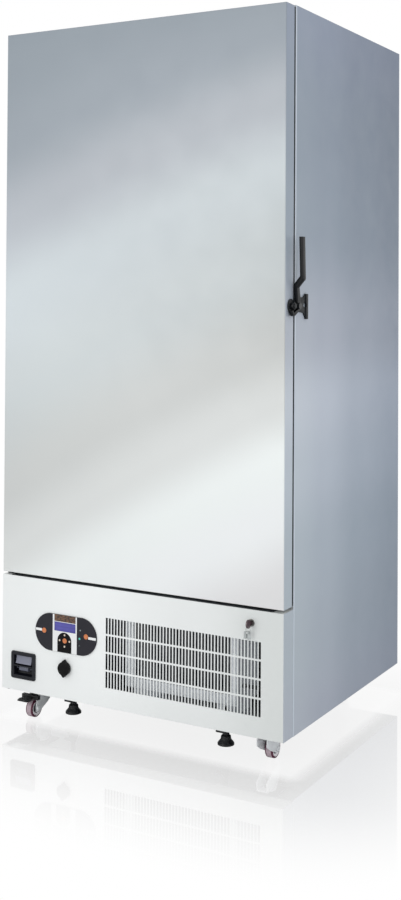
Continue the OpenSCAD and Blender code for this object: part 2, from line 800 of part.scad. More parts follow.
module control_fascia() {
    end_r = fascia_h / 2;
    color("#35343B") difference() {
        thick_y([front_y - fascia_t, front_y])
            round_rect([from_left(fascia_x - fascia_w / 2), from_left(fascia_x + fascia_w / 2)],
                       [above_box(fascia_z - end_r), above_box(fascia_z + end_r)], end_r - 0.01);
        slab([from_left(display_x - display_w / 2), from_left(display_x + display_w / 2)],
             [front_y - fascia_t - 1, front_y + 1],
             [above_box(display_z - display_h / 2), above_box(display_z + display_h / 2)]);
        for (k = key_places)
            rod_y(key_r + key_hole_gap, from_left(k[0]), [front_y - fascia_t - 1, front_y + 1],
                  above_box(k[1]));
    }
}

module display_window() {
    color("slateblue")
        slab([from_left(display_x - display_w / 2), from_left(display_x + display_w / 2)],
             [front_y - fascia_t + 0.6, front_y],
             [above_box(display_z - display_h / 2), above_box(display_z + display_h / 2)]);
}

module control_board() {
    reach = 8;
    board_x = [from_left(left_key_x - 18), from_left(right_key_x + 18)];
    board_z = [above_box(knob_z - 14), above_box(fascia_z + fascia_h / 2 - 10)];
    switch_y = front_y + key_flange_t + 0.3 + key_travel + 0.3;
    color("darkgreen") difference() {
        union() {
            slab(board_x, [board_y, board_y + board_t], board_z);
            slab([from_left(display_x - display_w / 2 + 6), from_left(display_x + display_w / 2 - 6)],
                 [front_y + panel_t, board_y],
                 [above_box(display_z - display_h / 2 + 4), above_box(display_z + display_h / 2 - 4)]);
            for (k = key_places) rod_y(4, from_left(k[0]), [switch_y, board_y], above_box(k[1]));
            rod_y(8, from_left(knob_x), [front_y + panel_t + 0.5, board_y + reach], above_box(knob_z));
            for (x = board_x, z = board_z)
                rod_y(3, x + (x < board_x[1] ? 5 : -5), [front_y + panel_t, board_y],
                      z + (z < board_z[1] ? 5 : -5));
        }
        rod_y(knob_shaft_r + turning_gap, from_left(knob_x), [front_y, board_y + reach - 2],
              above_box(knob_z));
    }
}

// A round key with a flange that keeps it behind the fascia
module round_key(x, z) {
    color("chocolate") {
        rod_y(key_r, from_left(x), [front_y - fascia_t - key_proud, front_y + 0.3], above_box(z));
        rod_y(key_flange_r, from_left(x), [front_y + 0.3, front_y + 0.3 + key_flange_t], above_box(z));
    }
}

module enter_button() round_key(enter_x, enter_z);
module left_button() round_key(left_key_x, left_key_z);
module right_button() round_key(right_key_x, right_key_z);

module selector_knob() {
    point = knob_r + 6.2;
    wing = [knob_r * 0.74, knob_r * 0.51];
    color("black") translate([from_left(knob_x), 0, above_box(knob_z)]) {
        thick_y([front_y - knob_t, front_y - knob_seat_gap]) {
            circle(knob_r);
            for (s = [-1, 1])
                polygon([[-wing[0], s * wing[1]], [0, s * point], [wing[0], s * wing[1]]]);
        }
        rod_y(knob_shaft_r, 0, [front_y - knob_seat_gap - 1, board_y + 4], 0);
    }
}

module switch_bezel() {
    x = [from_left(switch_x - switch_w / 2), from_left(switch_x + switch_w / 2)];
    z = [above_box(switch_z - switch_h / 2), above_box(switch_z + switch_h / 2)];
    cavity_x = [x[0] + switch_rim, x[1] - switch_rim];
    color("black") difference() {
        union() {
            thick_y([front_y - switch_proud, front_y]) round_rect(x, z, 6);
            slab([x[0] + 4, x[1] - 4], [front_y, front_y + switch_depth], [z[0] + 4, z[1] - 4]);
        }
        slab(cavity_x, [front_y - switch_proud - 1, switch_floor_y],
             [z[0] + switch_rim, above_box(divider_z)]);
        slab(cavity_x, [front_y - switch_proud - 1, switch_floor_y],
             [above_box(divider_z + 3), z[1] - switch_rim]);
        rod_x(switch_pin_r, [x[0] + 6, x[1] - 6], rocker_y, above_box(rocker_z));
        rod_x(switch_pin_r, [x[0] + 6, x[1] - 6], toggle_y, above_box(toggle_z));
    }
}

module power_rocker() {
    x = [from_left(switch_x - rocker_w / 2), from_left(switch_x + rocker_w / 2)];
    pin_x = [from_left(switch_x - switch_w / 2 + 7), from_left(switch_x + switch_w / 2 - 7)];
    color("lightslategray") translate([0, rocker_y, above_box(rocker_z)]) {
        rotate([-rocker_tilt, 0, 0]) thick_x(x)
            polygon([[-8, -rocker_h / 2 + 1], [-6, 0], [-8, rocker_h / 2 - 1], [0, rocker_h / 2 - 2],
                     [5, 0], [0, -rocker_h / 2 + 2]]);
        rod_x(switch_pin_r - turning_gap, pin_x, 0, 0);
    }
}

module breaker_lever() {
    x = [from_left(switch_x - toggle_w / 2), from_left(switch_x + toggle_w / 2)];
    pin_x = [from_left(switch_x - switch_w / 2 + 7), from_left(switch_x + switch_w / 2 - 7)];
    color("gray") translate([0, toggle_y, above_box(toggle_z)]) {
        rotate([-toggle_tilt, 0, 0]) thick_x(x)
            polygon([[-12, -5], [-12, 5], [-3, 7], [4, 4], [4, -4], [-3, -7]]);
        rod_x(switch_pin_r - turning_gap, pin_x, 0, 0);
    }
}

// Panel lock
module lock_barrel() {
    x = from_left(lock_x);
    z = above_box(lock_z);
    color("silver") difference() {
        union() {
            rod_y(barrel_r, x, [front_y - barrel_proud, cam_y - pass_gap], z);
            rod_y(barrel_r + 1.5, x, [front_y - barrel_proud, front_y], z);
            rod_y(barrel_r + 1.5, x, [front_y + panel_t, front_y + panel_t + 5], z);
        }
        rod_y(plug_r + turning_gap, x, [front_y - barrel_proud - 1, cam_y], z);
    }
}

module lock_key() {
    x = from_left(lock_x);
    z = above_box(lock_z);
    color("silver") difference() {
        union() {
            rod_y(plug_r, x, [front_y - barrel_proud - 0.5, cam_y + cam_t], z);
            slab([x - cam_len, x], [cam_y, cam_y + cam_t], [z - cam_w / 2, z + cam_w / 2]);
            slab([x - bow_t / 2, x + bow_t / 2], [bow_y, front_y - barrel_proud], [z - 4, z + 4]);
            rod_x(bow_r, [x - bow_t / 2, x + bow_t / 2], bow_y, z);
        }
        rod_x(bow_hole_r, [x - bow_t, x + bow_t], bow_y, z - bow_hole_drop);
    }
}

// Ring through the key's bow, with two flat tags turned a little so that the wire passes through them
module key_ring() {
    x = from_left(lock_x);
    hung_z = above_box(lock_z) - bow_hole_drop - bow_hole_r + ring_wire_r + 0.15;
    ring_z = hung_z - ring_r;
    color("rosybrown") translate([x, bow_y, ring_z]) rotate([90, 0, 0])
        rotate_extrude() translate([ring_r, 0]) circle(ring_wire_r);
    for (tag = [[-32, 17, 15], [24, 10, 17]])
        color("darkgray") translate([x + ring_r * sin(tag[0]), bow_y, ring_z - ring_r * cos(tag[0])])
            rotate([0, 0, 90 - tag_turn]) difference() {
                thick_y([-tag_t / 2, tag_t / 2])
                    round_rect([-tag[1] / 2, tag[1] / 2], [-tag[2], tag_hole_r + 0.6], 2);
                rod_y(tag_hole_r, 0, [-tag_t, tag_t], -0.4);
            }
}

// Castors
module caster_plates() {
    color("black") for (x = [-castor_x, castor_x]) {
        slab([x - 32, x + 32], [castor_y - 16, castor_y + 48], [castor_h - plate_t, castor_h]);
        rod_z(race_r, x, castor_y, [fork_z1 + 0.3, castor_h - plate_t]);
        rod_z(king_r, x, castor_y, [fork_z0 - 3, castor_h - plate_t]);
        rod_z(king_r + 3, x, castor_y, [fork_z0 - 3.3, fork_z0 - 0.3]);
    }
}

module fork_leg(x0) {
    thick_x([x0, x0 + fork_t])
        polygon([[-26, fork_z1], [30, fork_z1], [32, 46], [14, 33], [-trail + 9, wheel_r - 8],
                 [-trail - 9, wheel_r - 8], [-trail - 10, wheel_r + 6], [-36, 52]]);
}

module swivel_fork() {
    color("silver") difference() {
        union() {
            rod_z(race_r, 0, 0, [fork_z0, fork_z1]);
            slab([-fork_x - fork_t, fork_x + fork_t], [-26, 30], [fork_z0, fork_z1]);
            fork_leg(-fork_x - fork_t);
            fork_leg(fork_x);
            rod_x(axle_r, [-fork_x - fork_t - 2, fork_x + fork_t + 2], -trail, wheel_r);
            for (s = [-1, 1]) rod_x(7, s > 0 ? [fork_x + fork_t, fork_x + fork_t + 3]
                                             : [-fork_x - fork_t - 3, -fork_x - fork_t], -trail, wheel_r);
            rod_x(pedal_pin_r, [-fork_x - 1, fork_x + 1], pedal_y, pedal_z);
        }
        rod_z(king_r + turning_gap, 0, 0, [fork_z0 - 1, fork_z1 + 1]);
    }
}

// The left castor trails forward and the right one backward
module at_castor(side)
    translate([side * castor_x, castor_y, 0]) rotate([0, 0, side > 0 ? 180 : 0]) children();
module caster_fork_left() at_castor(-1) swivel_fork();
module caster_fork_right() at_castor(1) swivel_fork();

module wheel() {
    color("maroon") difference() {
        union() {
            rod_x(wheel_r, [-wheel_w / 2 + 2.5, wheel_w / 2 - 2.5], 0, 0);
            rod_x(wheel_r - 2.5, [-wheel_w / 2, wheel_w / 2], 0, 0);
            rod_x(9, [-fork_x + 0.5, fork_x - 0.5], 0, 0);
        }
        rod_x(axle_r + turning_gap, [-wheel_w, wheel_w], 0, 0);
        for (s = [-1, 1]) rotate([0, 90 * s, 0]) translate([0, 0, wheel_w / 2 - 3]) difference() {
            cylinder(r = wheel_r - 6, h = 10);
            translate([0, 0, -1]) cylinder(r = 9, h = 12);
        }
    }
}

module front_wheel_left() at_castor(-1) translate([0, -trail, wheel_r]) wheel();
module front_wheel_right() at_castor(1) translate([0, -trail, wheel_r]) wheel();
module rear_wheel_left() translate([-rear_castor_x, rear_castor_y, wheel_r]) wheel();
module rear_wheel_right() translate([rear_castor_x, rear_castor_y, wheel_r]) wheel();

module brake_pedal() {
    drop = 1;
    thick = 4;
    tip = [-pedal_reach, pedal_z - drop];
    flare = -46;
    color("black") difference() {
        union() {
            rod_x(5.5, [-9, 9], pedal_y, pedal_z);
            slab([-28, 28], [-50, -38.5], [pedal_z - 5.5, pedal_z + 6]);
            thick_x([-9, 9]) polygon([[pedal_y, pedal_z - thick], [tip[0], tip[1] - thick / 2],
                                      [tip[0], tip[1] + thick / 2], [pedal_y, pedal_z + thick]]);
            intersection() {
                thick_x([-20, 20])
                    polygon([[flare, pedal_z - drop / 2 - thick / 2], [tip[0], tip[1] - thick / 2],
                             [tip[0], tip[1] + thick / 2], [flare, pedal_z - drop / 2 + thick / 2]]);
                linear_extrude(100) polygon([[-9, flare], [-20, -pedal_reach + 14], [-16, -pedal_reach],
                                             [16, -pedal_reach], [20, -pedal_reach + 14], [9, flare]]);
            }
        }
        rod_x(pedal_pin_r + turning_gap, [-10, 10], pedal_y, pedal_z);
    }
}

module brake_pedal_left() at_castor(-1) brake_pedal();
module brake_pedal_right() at_castor(1) brake_pedal();

module rear_caster_forks() {
    legs_z = castor_h - plate_t;
    color("silver") for (x = [-rear_castor_x, rear_castor_x]) translate([x, rear_castor_y, 0]) {
        slab([-40, 40], [-32, 32], [legs_z, castor_h]);
        for (x0 = [-fork_x - fork_t, fork_x]) thick_x([x0, x0 + fork_t])
            polygon([[-24, legs_z], [24, legs_z], [9, wheel_r - 8], [-9, wheel_r - 8]]);
        rod_x(axle_r, [-fork_x - 1, fork_x + 1], 0, wheel_r);
        for (s = [-1, 1]) rod_x(7, s > 0 ? [fork_x + fork_t, fork_x + fork_t + 3]
                                         : [-fork_x - fork_t - 3, -fork_x - fork_t], 0, wheel_r);
    }
}

// Levelling foot: base, threaded stem, and a lock nut with a lever
module leveling_foot(x) {
    base_z = foot_lift;
    nut_z = base_z + 25;
    color("black") translate([x, foot_y, 0]) {
        rotate_extrude()
            polygon([[0, base_z], [foot_r, base_z], [foot_r, base_z + 4], [foot_r - 2, base_z + 7],
                     [14, base_z + 14], [13, base_z + 22], [11, base_z + 24], [0, base_z + 24]]);
        rod_z(stem_r, 0, 0, [base_z + 12, castor_h + 40]);
        rod_z(9, 0, 0, [nut_z, nut_z + 9]);
        slab([-28, 0], [-5, 5], [nut_z + 3, nut_z + 8]);
    }
}

module leveling_foot_left() leveling_foot(-foot_x);
module leveling_foot_right() leveling_foot(foot_x);

// Machine compartment
module compressor(x) {
    seam_z = comp_z0 + 120;
    color("black") difference() {
        union() {
            intersection() {
                rod_z(shell_r, x, comp_y, [comp_z0 + 16, comp_z0 + 232]);
                translate([x, comp_y, comp_z0 + 88]) sphere(shell_r * 1.5);
            }
            rod_z(shell_r + 4, x, comp_y, [seam_z - 2, seam_z + 2]);
            slab([x - foot_span_x - 15, x + foot_span_x + 15],
                 [comp_y - foot_span_y - 15, comp_y + foot_span_y + 15], [comp_z0, comp_z0 + 3]);
            rod_z(50, x, comp_y, [comp_z0, comp_z0 + 20]);
            slab([x - 25, x + 25], [comp_y - shell_r - 22, comp_y - shell_r + 20],
                 [seam_z + 12, seam_z + 62]);
            for (dx = [-stub_x, stub_x]) rod_z(tube_r + 1, x + dx, comp_y, [comp_z0 + 180, stub_top]);
        }
        for (dx = [-foot_span_x, foot_span_x], dy = [-foot_span_y, foot_span_y])
            rod_z(stud_r + 1, x + dx, comp_y + dy, [comp_z0 - 1, comp_z0 + 4]);
    }
}

module compressor_high_stage() compressor(-comp_x);
module compressor_low_stage() compressor(comp_x);

module compressor_grommets() {
    color("black")
        for (cx = [-comp_x, comp_x], dx = [-foot_span_x, foot_span_x], dy = [-foot_span_y, foot_span_y])
        difference() {
            rod_z(grommet_r, cx + dx, comp_y + dy, [tray_top, comp_z0]);
            rod_z(stud_r, cx + dx, comp_y + dy, [tray_top - 1, comp_z0 + 1]);
        }
}

// Finned core inside the duct, with its two tube ends passing through the duct's right wall
core_x = [duct_x0 + duct_t, duct_x1 - duct_t];
core_z = [duct_z0 + duct_t, duct_z1 - duct_t];
condenser_in_z = duct_z1 - 48;
condenser_out_z = duct_z0 + 45;
condenser_y = core_y0 + core_d / 2;

module condenser() {
    fins = floor((core_x[1] - core_x[0] - 8) / core_pitch);
    color("dimgray") {
        translate([0, 0, core_z[0]]) linear_extrude(core_z[1] - core_z[0]) {
            translate([core_x[0], core_y0 + 10]) square([core_x[1] - core_x[0], core_d - 20]);
            for (i = [0 : fins])
                translate([core_x[0] + 4 + i * core_pitch, core_y0]) square([core_fin, core_d]);
        }
        for (z = [condenser_in_z, condenser_out_z])
            rod_x(tube_r, [core_x[1] - 5, duct_x1 + 10], condenser_y, z);
    }
}

module fan_shroud() {
    strap = 8;
    strap_x = fan_hole_r + 12;
    color("lightgray") difference() {
        union() {
            difference() {
                slab([duct_x0, duct_x1], [duct_y0, duct_y1], [duct_z0, duct_z1]);
                slab([duct_x0 + duct_t, duct_x1 - duct_t], [duct_y0 + duct_t, duct_y1 - duct_t],
                     [duct_z0 + duct_t, duct_z1 - duct_t]);
                slab([duct_x0 + duct_flange_wide, duct_x1 - duct_flange], [duct_y0 - 1, duct_y0 + 5],
                     [duct_z0 + duct_flange_wide, duct_z1 - duct_flange]);
                rod_y(fan_hole_r, fan_x, [duct_y1 - 5, duct_y1 + 1], fan_z);
            }
            for (s = [-1, 1])
                slab([fan_x + s * strap_x - 1.5, fan_x + s * strap_x + 1.5], [duct_y1 - 1, motor_y1 + 3],
                     [fan_z - strap, fan_z + strap]);
            slab([fan_x - strap_x, fan_x + strap_x], [motor_y1, motor_y1 + 3],
                 [fan_z - strap, fan_z + strap]);
            slab([duct_x0 + 20, duct_x0 + 60], [duct_y0 + 10, duct_y1 - 10], [tray_top, duct_z0 + 1]);
            slab([duct_x1 - 60, duct_x1 - 20], [duct_y0 + 10, duct_y1 - 10], [tray_top, duct_z0 + 1]);
        }
        for (z = [condenser_in_z, condenser_out_z])
            rod_x(tube_r + 2, [duct_x1 - duct_t - 1, duct_x1 + 1], condenser_y, z);
    }
}

module fan_motor() {
    color("dimgray") difference() {
        rod_y(38, fan_x, [motor_y0, motor_y1], fan_z);
        rod_y(fan_shaft_r + fan_bore_gap, fan_x, [motor_y0 - 1, motor_y1 - 6], fan_z);
    }
}

module fan_blades() {
    tilt = 25;
    chord = 42;
    color("gray") translate([fan_x, fan_y0 + fan_depth / 2, fan_z]) {
        rod_y(26, 0, [-fan_depth / 2, fan_depth / 2 - 8], 0);
        rod_y(fan_shaft_r, 0, [0, motor_y1 - 8 - fan_y0 - fan_depth / 2], 0);
        intersection() {
            rod_y(fan_r, 0, [-fan_depth, fan_depth], 0);
            union() {
                for (i = [0 : fan_blade_count - 1]) rotate([0, i * 360 / fan_blade_count, 0])
                    translate([20, 0, 0]) rotate([90 - tilt, 0, 0]) translate([0, -chord / 2, -1])
                        cube([fan_r, chord, 2]);
            }
        }
    }
}

module heat_exchanger() {
    port_z = hx_top - 33;
    color("silver") {
        slab([-hx_x, hx_x], hx_y, [tray_top, hx_top]);
        for (x = [-20, 20]) {
            rod_y(tube_r + 1, x, [hx_y[0] - 12, hx_y[0] + 5], port_z);
            rod_z(tube_r + 1, x, evap_y, [hx_top - 5, hx_top + 10]);
        }
    }
}

// Lines between the compressors, the condenser, the heat exchanger and the evaporator
module refrigerant_lines() {
    port_y = hx_y[0] - 12;
    port_z = hx_top - 33;
    high_z = deck_z - 37;
    top_line_z = deck_z - 20;
    cross_y = duct_y1 + 100;
    side_x = duct_x1 + 40;
    color("#26272A") {
        tube([[-comp_x - stub_x, comp_y, stub_top], [-comp_x - stub_x, comp_y, high_z],
              [-comp_x - stub_x, cross_y, high_z], [side_x, cross_y, high_z], [side_x, condenser_y, high_z],
              [side_x, condenser_y, condenser_in_z], [duct_x1 + 10, condenser_y, condenser_in_z]]);
        tube([[duct_x1 + 10, condenser_y, condenser_out_z], [side_x + 20, condenser_y, condenser_out_z],
              [side_x + 20, cross_y + 80, condenser_out_z], [side_x + 20, cross_y + 80, top_line_z],
              [20, cross_y + 80, top_line_z], [20, port_y - 15, top_line_z], [20, port_y - 15, port_z],
              [20, port_y, port_z]]);
        tube([[-20, port_y, port_z], [-20, port_y - 15, port_z], [-20, port_y - 15, high_z],
              [-comp_x + stub_x, port_y - 15, high_z], [-comp_x + stub_x, comp_y, high_z],
              [-comp_x + stub_x, comp_y, stub_top]]);
        tube([[comp_x - stub_x, comp_y, stub_top], [comp_x - stub_x, comp_y, high_z],
              [comp_x - stub_x, evap_y, high_z], [20, evap_y, high_z], [20, evap_y, hx_top + 10]]);
        tube([[-20, evap_y, hx_top + 10], [-20, evap_y, evap_z0]]);
        tube([[evap_out_x, evap_y, evap_z0], [evap_out_x, evap_y, top_line_z - 2],
              [comp_x + stub_x, evap_y, top_line_z - 2], [comp_x + stub_x, comp_y, top_line_z - 2],
              [comp_x + stub_x, comp_y, stub_top]]);
    }
}

module electrical_box() {
    color("lightgray") slab([-in_x, -in_x + box_w], box_y, [above_box(120), above_box(120) + box_h]);
}

inlet_from_left = 110;
inlet_w = 48;
inlet_h = 28;
inlet_z = above_box(90);

module power_inlet() {
    x = from_left(inlet_from_left);
    pin_w = 2;
    color("black") {
        difference() {
            slab([x - inlet_w / 2, x + inlet_w / 2], [cabinet_d - 30, cabinet_d],
                 [inlet_z - inlet_h / 2, inlet_z + inlet_h / 2]);
            slab([x - inlet_w / 2 + 6, x + inlet_w / 2 - 6], [cabinet_d - 22, cabinet_d + 1],
                 [inlet_z - inlet_h / 2 + 5, inlet_z + inlet_h / 2 - 5]);
        }
        for (p = [[-10, -3], [0, 4], [10, -3]])
            slab([x + p[0] - pin_w, x + p[0] + pin_w], [cabinet_d - 24, cabinet_d - 9],
                 [inlet_z + p[1] - 1, inlet_z + p[1] + 1]);
    }
}

in_frame() outer_wrap();
in_frame() rear_panel();
in_frame() deck_plate();
in_frame() base_tray();
in_frame() cabinet_foam();
in_frame() inner_liner();
in_frame() front_frame();
in_frame() evaporator_coil();
in_frame() shelves();
in_frame() shelf_rails();
in_frame() hinge_brackets();
in_frame() pivot_pins();
in_frame() latch_bracket();
in_frame() caster_plates();
in_frame() rear_caster_forks();
in_frame() compressor_high_stage();
in_frame() compressor_low_stage();
in_frame() compressor_grommets();
in_frame() condenser();
in_frame() fan_shroud();
in_frame() fan_motor();
in_frame() heat_exchanger();
in_frame() refrigerant_lines();
in_frame() electrical_box();
in_frame() power_inlet();
in_frame() fan_blades();
in_frame() door_skin();
in_frame() door_foam();
in_frame() door_liner();
in_frame() door_gasket();
in_frame() hinge_bushes();
in_frame() strike_base();
in_frame() strike_roller();
in_frame() latch_lever();
in_frame() inner_door_upper();
in_frame() inner_door_lower();
in_frame() front_panel();
in_frame() control_fascia();
in_frame() display_window();
in_frame() control_board();
in_frame() switch_bezel();
in_frame() lock_barrel();
in_frame() power_rocker();
in_frame() breaker_lever();
in_frame() lock_key();
in_frame() key_ring();
in_frame() selector_knob();
in_frame() enter_button();
in_frame() left_button();
in_frame() right_button();
in_frame() caster_fork_left();
in_frame() caster_fork_right();
in_frame() front_wheel_left();
in_frame() front_wheel_right();
in_frame() rear_wheel_left();
in_frame() rear_wheel_right();
in_frame() brake_pedal_left();
in_frame() brake_pedal_right();
in_frame() leveling_foot_left();
in_frame() leveling_foot_right();
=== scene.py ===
"""Finishes, trim and studio for an upright laboratory freezer on castors."""

import json
import math

import bmesh
import bpy
from mathutils import Matrix, Vector

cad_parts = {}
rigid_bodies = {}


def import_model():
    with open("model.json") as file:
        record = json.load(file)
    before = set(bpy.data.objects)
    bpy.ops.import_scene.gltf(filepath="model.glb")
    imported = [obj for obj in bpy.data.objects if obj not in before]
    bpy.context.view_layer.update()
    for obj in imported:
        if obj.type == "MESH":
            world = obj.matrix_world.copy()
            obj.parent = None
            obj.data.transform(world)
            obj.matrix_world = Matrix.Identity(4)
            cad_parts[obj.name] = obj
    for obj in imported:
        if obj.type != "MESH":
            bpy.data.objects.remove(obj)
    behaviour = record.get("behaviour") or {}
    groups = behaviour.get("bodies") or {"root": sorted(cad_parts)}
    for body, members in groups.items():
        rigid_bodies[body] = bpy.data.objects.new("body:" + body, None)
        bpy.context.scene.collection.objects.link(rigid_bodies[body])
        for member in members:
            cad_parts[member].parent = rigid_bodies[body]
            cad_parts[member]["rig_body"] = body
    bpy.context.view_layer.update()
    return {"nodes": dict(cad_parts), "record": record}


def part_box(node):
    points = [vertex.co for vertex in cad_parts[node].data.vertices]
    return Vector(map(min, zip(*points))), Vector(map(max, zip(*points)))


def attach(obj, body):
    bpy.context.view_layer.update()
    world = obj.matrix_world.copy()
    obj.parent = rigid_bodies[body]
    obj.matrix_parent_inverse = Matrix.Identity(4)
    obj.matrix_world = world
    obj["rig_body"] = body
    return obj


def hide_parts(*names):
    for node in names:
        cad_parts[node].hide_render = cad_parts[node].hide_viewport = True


bl_info = {
    "name": "Upright Laboratory Freezer",
    "version": (1, 0, 0),
    "blender": (4, 5, 0),
    "location": "View3D > Sidebar > Freezer",
    "description": "Dresses the packed freezer with finishes, trim, controls, castors and studio",
    "category": "Object",
}

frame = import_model()
SLOTS = {part["node"]: part["material_slot"] for part in frame["record"]["subparts"]}

# Middle of the outline on the floor, from the middle of the cabinet's front edge
FRAME_ORIGIN = (0.0135, 0.328)
FILM_FACE = -0.058
CABINET_LEFT = -0.440
CABINET_BASE = 0.080

# Usual colours of the three paints, to which their tones are matched
DOOR_COLOUR = "#B3BECB"
CABINET_COLOUR = "#9FABBC"
PANEL_COLOUR = "#ECEDED"

# Along X: the fronts from left to right, and the turn from a front into its side face
FRONT_FACE = (-0.4535, 0.4265)
SIDE_FACE = (0.4255, 0.4262)

# The side faces' painted shade along Y and Z
SIDE_DEPTH = (-0.383, 0.410)
SIDE_HEIGHT = (0.080, 1.930)

# The door's painted sheen, a reflection painted into its colour: its lean at the floor and per
# metre of height, and its tones going up
DOOR_LEAN = (0.72, -0.25)
DOOR_PAINTED_SHEEN = (
    (0.00, "#E0DFDF"),
    (0.10, "#EEF0F0"),
    (0.18, "#EDF1EF"),
    (0.26, "#D9DBD9"),
    (0.34, "#CACCCA"),
    (0.46, "#C6CCCD"),
    (0.58, "#C3CACD"),
    (0.68, "#ADB2B8"),
    (0.78, "#979FA7"),
    (0.88, "#919AA2"),
    (1.00, "#818B97"),
)


# Places
def at(x, y, z):
    """A point from the cabinet's own middle, front plane and the floor, in the shared frame."""
    return Vector((x - FRAME_ORIGIN[0], y - FRAME_ORIGIN[1], z))


def on_panel(x, z):
    """A point of the film, in millimetres from the panel's left edge and the cabinet's bottom."""
    return at(CABINET_LEFT + x / 1000, FILM_FACE, CABINET_BASE + z / 1000)


# Colours
def linear(value):
    return value / 12.92 if value <= 0.04045 else ((value + 0.055) / 1.055) ** 2.4


def shade(hex_colour):
    """An sRGB hex colour as a linear one with full alpha."""
    return tuple(linear(int(hex_colour[i : i + 2], 16) / 255) for i in (1, 3, 5)) + (1.0,)


# Node trees
def add_node(tree, kind, *sources, **values):
    """A new node, with the values set on it and its first inputs fed by the sources."""
    node = tree.nodes.new(kind)
    for key, value in values.items():
        setattr(node, key, value)
    for socket, source in zip(node.inputs, sources):
        if isinstance(source, bpy.types.NodeSocket):
            tree.links.new(source, socket)
        else:
            socket.default_value = source
    return node


class Tree:
    """A material's node tree with the few blocks that the finishes share."""

    def __init__(self, name):
        self.material = bpy.data.materials.new(name)
        self.material.use_nodes = True
        self.tree = self.material.node_tree
        self.shader = self.tree.nodes["Principled BSDF"]
        self.place = self.add("ShaderNodeTexCoord").outputs["Object"]

    def add(self, kind, *sources, **values):
        return add_node(self.tree, kind, *sources, **values)

    def link(self, output, target):
        self.tree.links.new(output, target)

    def set(self, **values):
        for key, value in values.items():
            self.shader.inputs[key.replace("_", " ")].default_value = value

    def stretched(self, scale):
        node = self.add("ShaderNodeMapping")
        node.inputs["Scale"].default_value = scale
        self.link(self.place, node.inputs["Vector"])
        return node.outputs["Vector"]

    def noise(self, scale, detail=2.0, roughness=0.5, vector=None):
        node = self.add("ShaderNodeTexNoise")
        node.inputs["Scale"].default_value = scale
        node.inputs["Detail"].default_value = detail
        node.inputs["Roughness"].default_value = roughness
        self.link(vector or self.place, node.inputs["Vector"])
        return node.outputs["Fac"]

    def cells(self, scale, feature="F1"):
        node = self.add("ShaderNodeTexVoronoi", self.place, feature=feature)
        node.inputs["Scale"].default_value = scale
        return node

    def range(self, source, low, high, source_low=0.3, source_high=0.7):
        node = self.add("ShaderNodeMapRange", source, source_low, source_high, low, high)
        return node.outputs["Result"]

    def ramp(self, source, stops, smooth=True):
        node = self.add("ShaderNodeValToRGB")
        node.color_ramp.interpolation = "EASE" if smooth else "LINEAR"
        elements = node.color_ramp.elements
        while len(elements) < len(stops):
            elements.new(0.5)
        for element, (position, colour) in zip(elements, stops):
            element.position = position
            element.color = colour
        self.link(source, node.inputs["Fac"])
        return node.outputs["Color"]

    def mix(self, first, second, factor, blend="MIX"):
        node = self.add("ShaderNodeMix", factor, data_type="RGBA", blend_type=blend)
        for socket, value in ((node.inputs[6], first), (node.inputs[7], second)):
            if isinstance(value, bpy.types.NodeSocket):
                self.link(value, socket)
            else:
                socket.default_value = value
        return node.outputs[2]

    def maths(self, operation, first, second=0.0, third=0.0):
        return self.add("ShaderNodeMath", first, second, third, operation=operation).outputs[0]

    def axes(self):
        return self.add("ShaderNodeSeparateXYZ", self.place).outputs

    def band(self, value, low, high, soft):
        """1 where the value lies between low and high, with soft edges."""
        rise = self.range(value, 0.0, 1.0, low - soft, low + soft)
        fall = self.range(value, 1.0, 0.0, high - soft, high + soft)
        return self.maths("MULTIPLY", rise, fall)

    def bump(self, *layers, rounding=0.0):
        """Bumps from (height, strength, distance) layers, over edges with the given rounding."""
        normal = None
        if rounding:
            bevel = self.add("ShaderNodeBevel", samples=4)
            bevel.inputs["Radius"].default_value = rounding
            normal = bevel.outputs["Normal"]
        for height, strength, distance in layers:
            node = self.add("ShaderNodeBump")
            node.inputs["Strength"].default_value = strength
            node.inputs["Distance"].default_value = distance
            self.link(height, node.inputs["Height"])
            if normal:
                self.link(normal, node.inputs["Normal"])
            normal = node.outputs["Normal"]
        self.link(normal, self.shader.inputs["Normal"])

    def colour(self, value):
        if isinstance(value, bpy.types.NodeSocket):
            self.link(value, self.shader.inputs["Base Color"])
        else:
            self.shader.inputs["Base Color"].default_value = value

    def roughness(self, value):
        self.link(value, self.shader.inputs["Roughness"])


# Finishes
def varied(tree, hex_colour, amount, scale):
    """The colour with a slow lighter and darker drift across the surface."""
    base = Vector(shade(hex_colour)[:3])
    low, high = base * (1 - amount), base * (1 + amount)
    drift = tree.range(tree.noise(scale, 3.0), 0.0, 1.0)
    return tree.ramp(drift, [(0.0, (*low, 1)), (1.0, (*high, 1))], smooth=False)


def dulled(tree, colour, where, tone, share):
    """The colour, multiplied by the tone where the given value is low."""
    return tree.mix(colour, tree.ramp(where, [(0.0, tone), (1.0, (1, 1, 1, 1))]), share, "MULTIPLY")


def tinted(tree, colour, hex_colour, usual):
    """The colour, moved as far as the chosen hex colour lies from the usual one."""
    share = [chosen / known for chosen, known in zip(shade(hex_colour), shade(usual))]
    return tree.mix(colour, share, 1.0, "MULTIPLY")


def painted(name, roughness, peel=0.12, rounding=0.0012):
    """Sprayed and baked surface with a fine orange peel, which still needs its colour."""
    tree = Tree(name)
    tree.roughness(tree.range(tree.noise(14.0, 3.0), roughness - 0.04, roughness + 0.05))
    tree.bump(
        (tree.noise(700.0, 1.0), peel, 0.0002),
        (tree.noise(28.0, 2.0), 0.05, 0.0006),
        rounding=rounding,
    )
    return tree


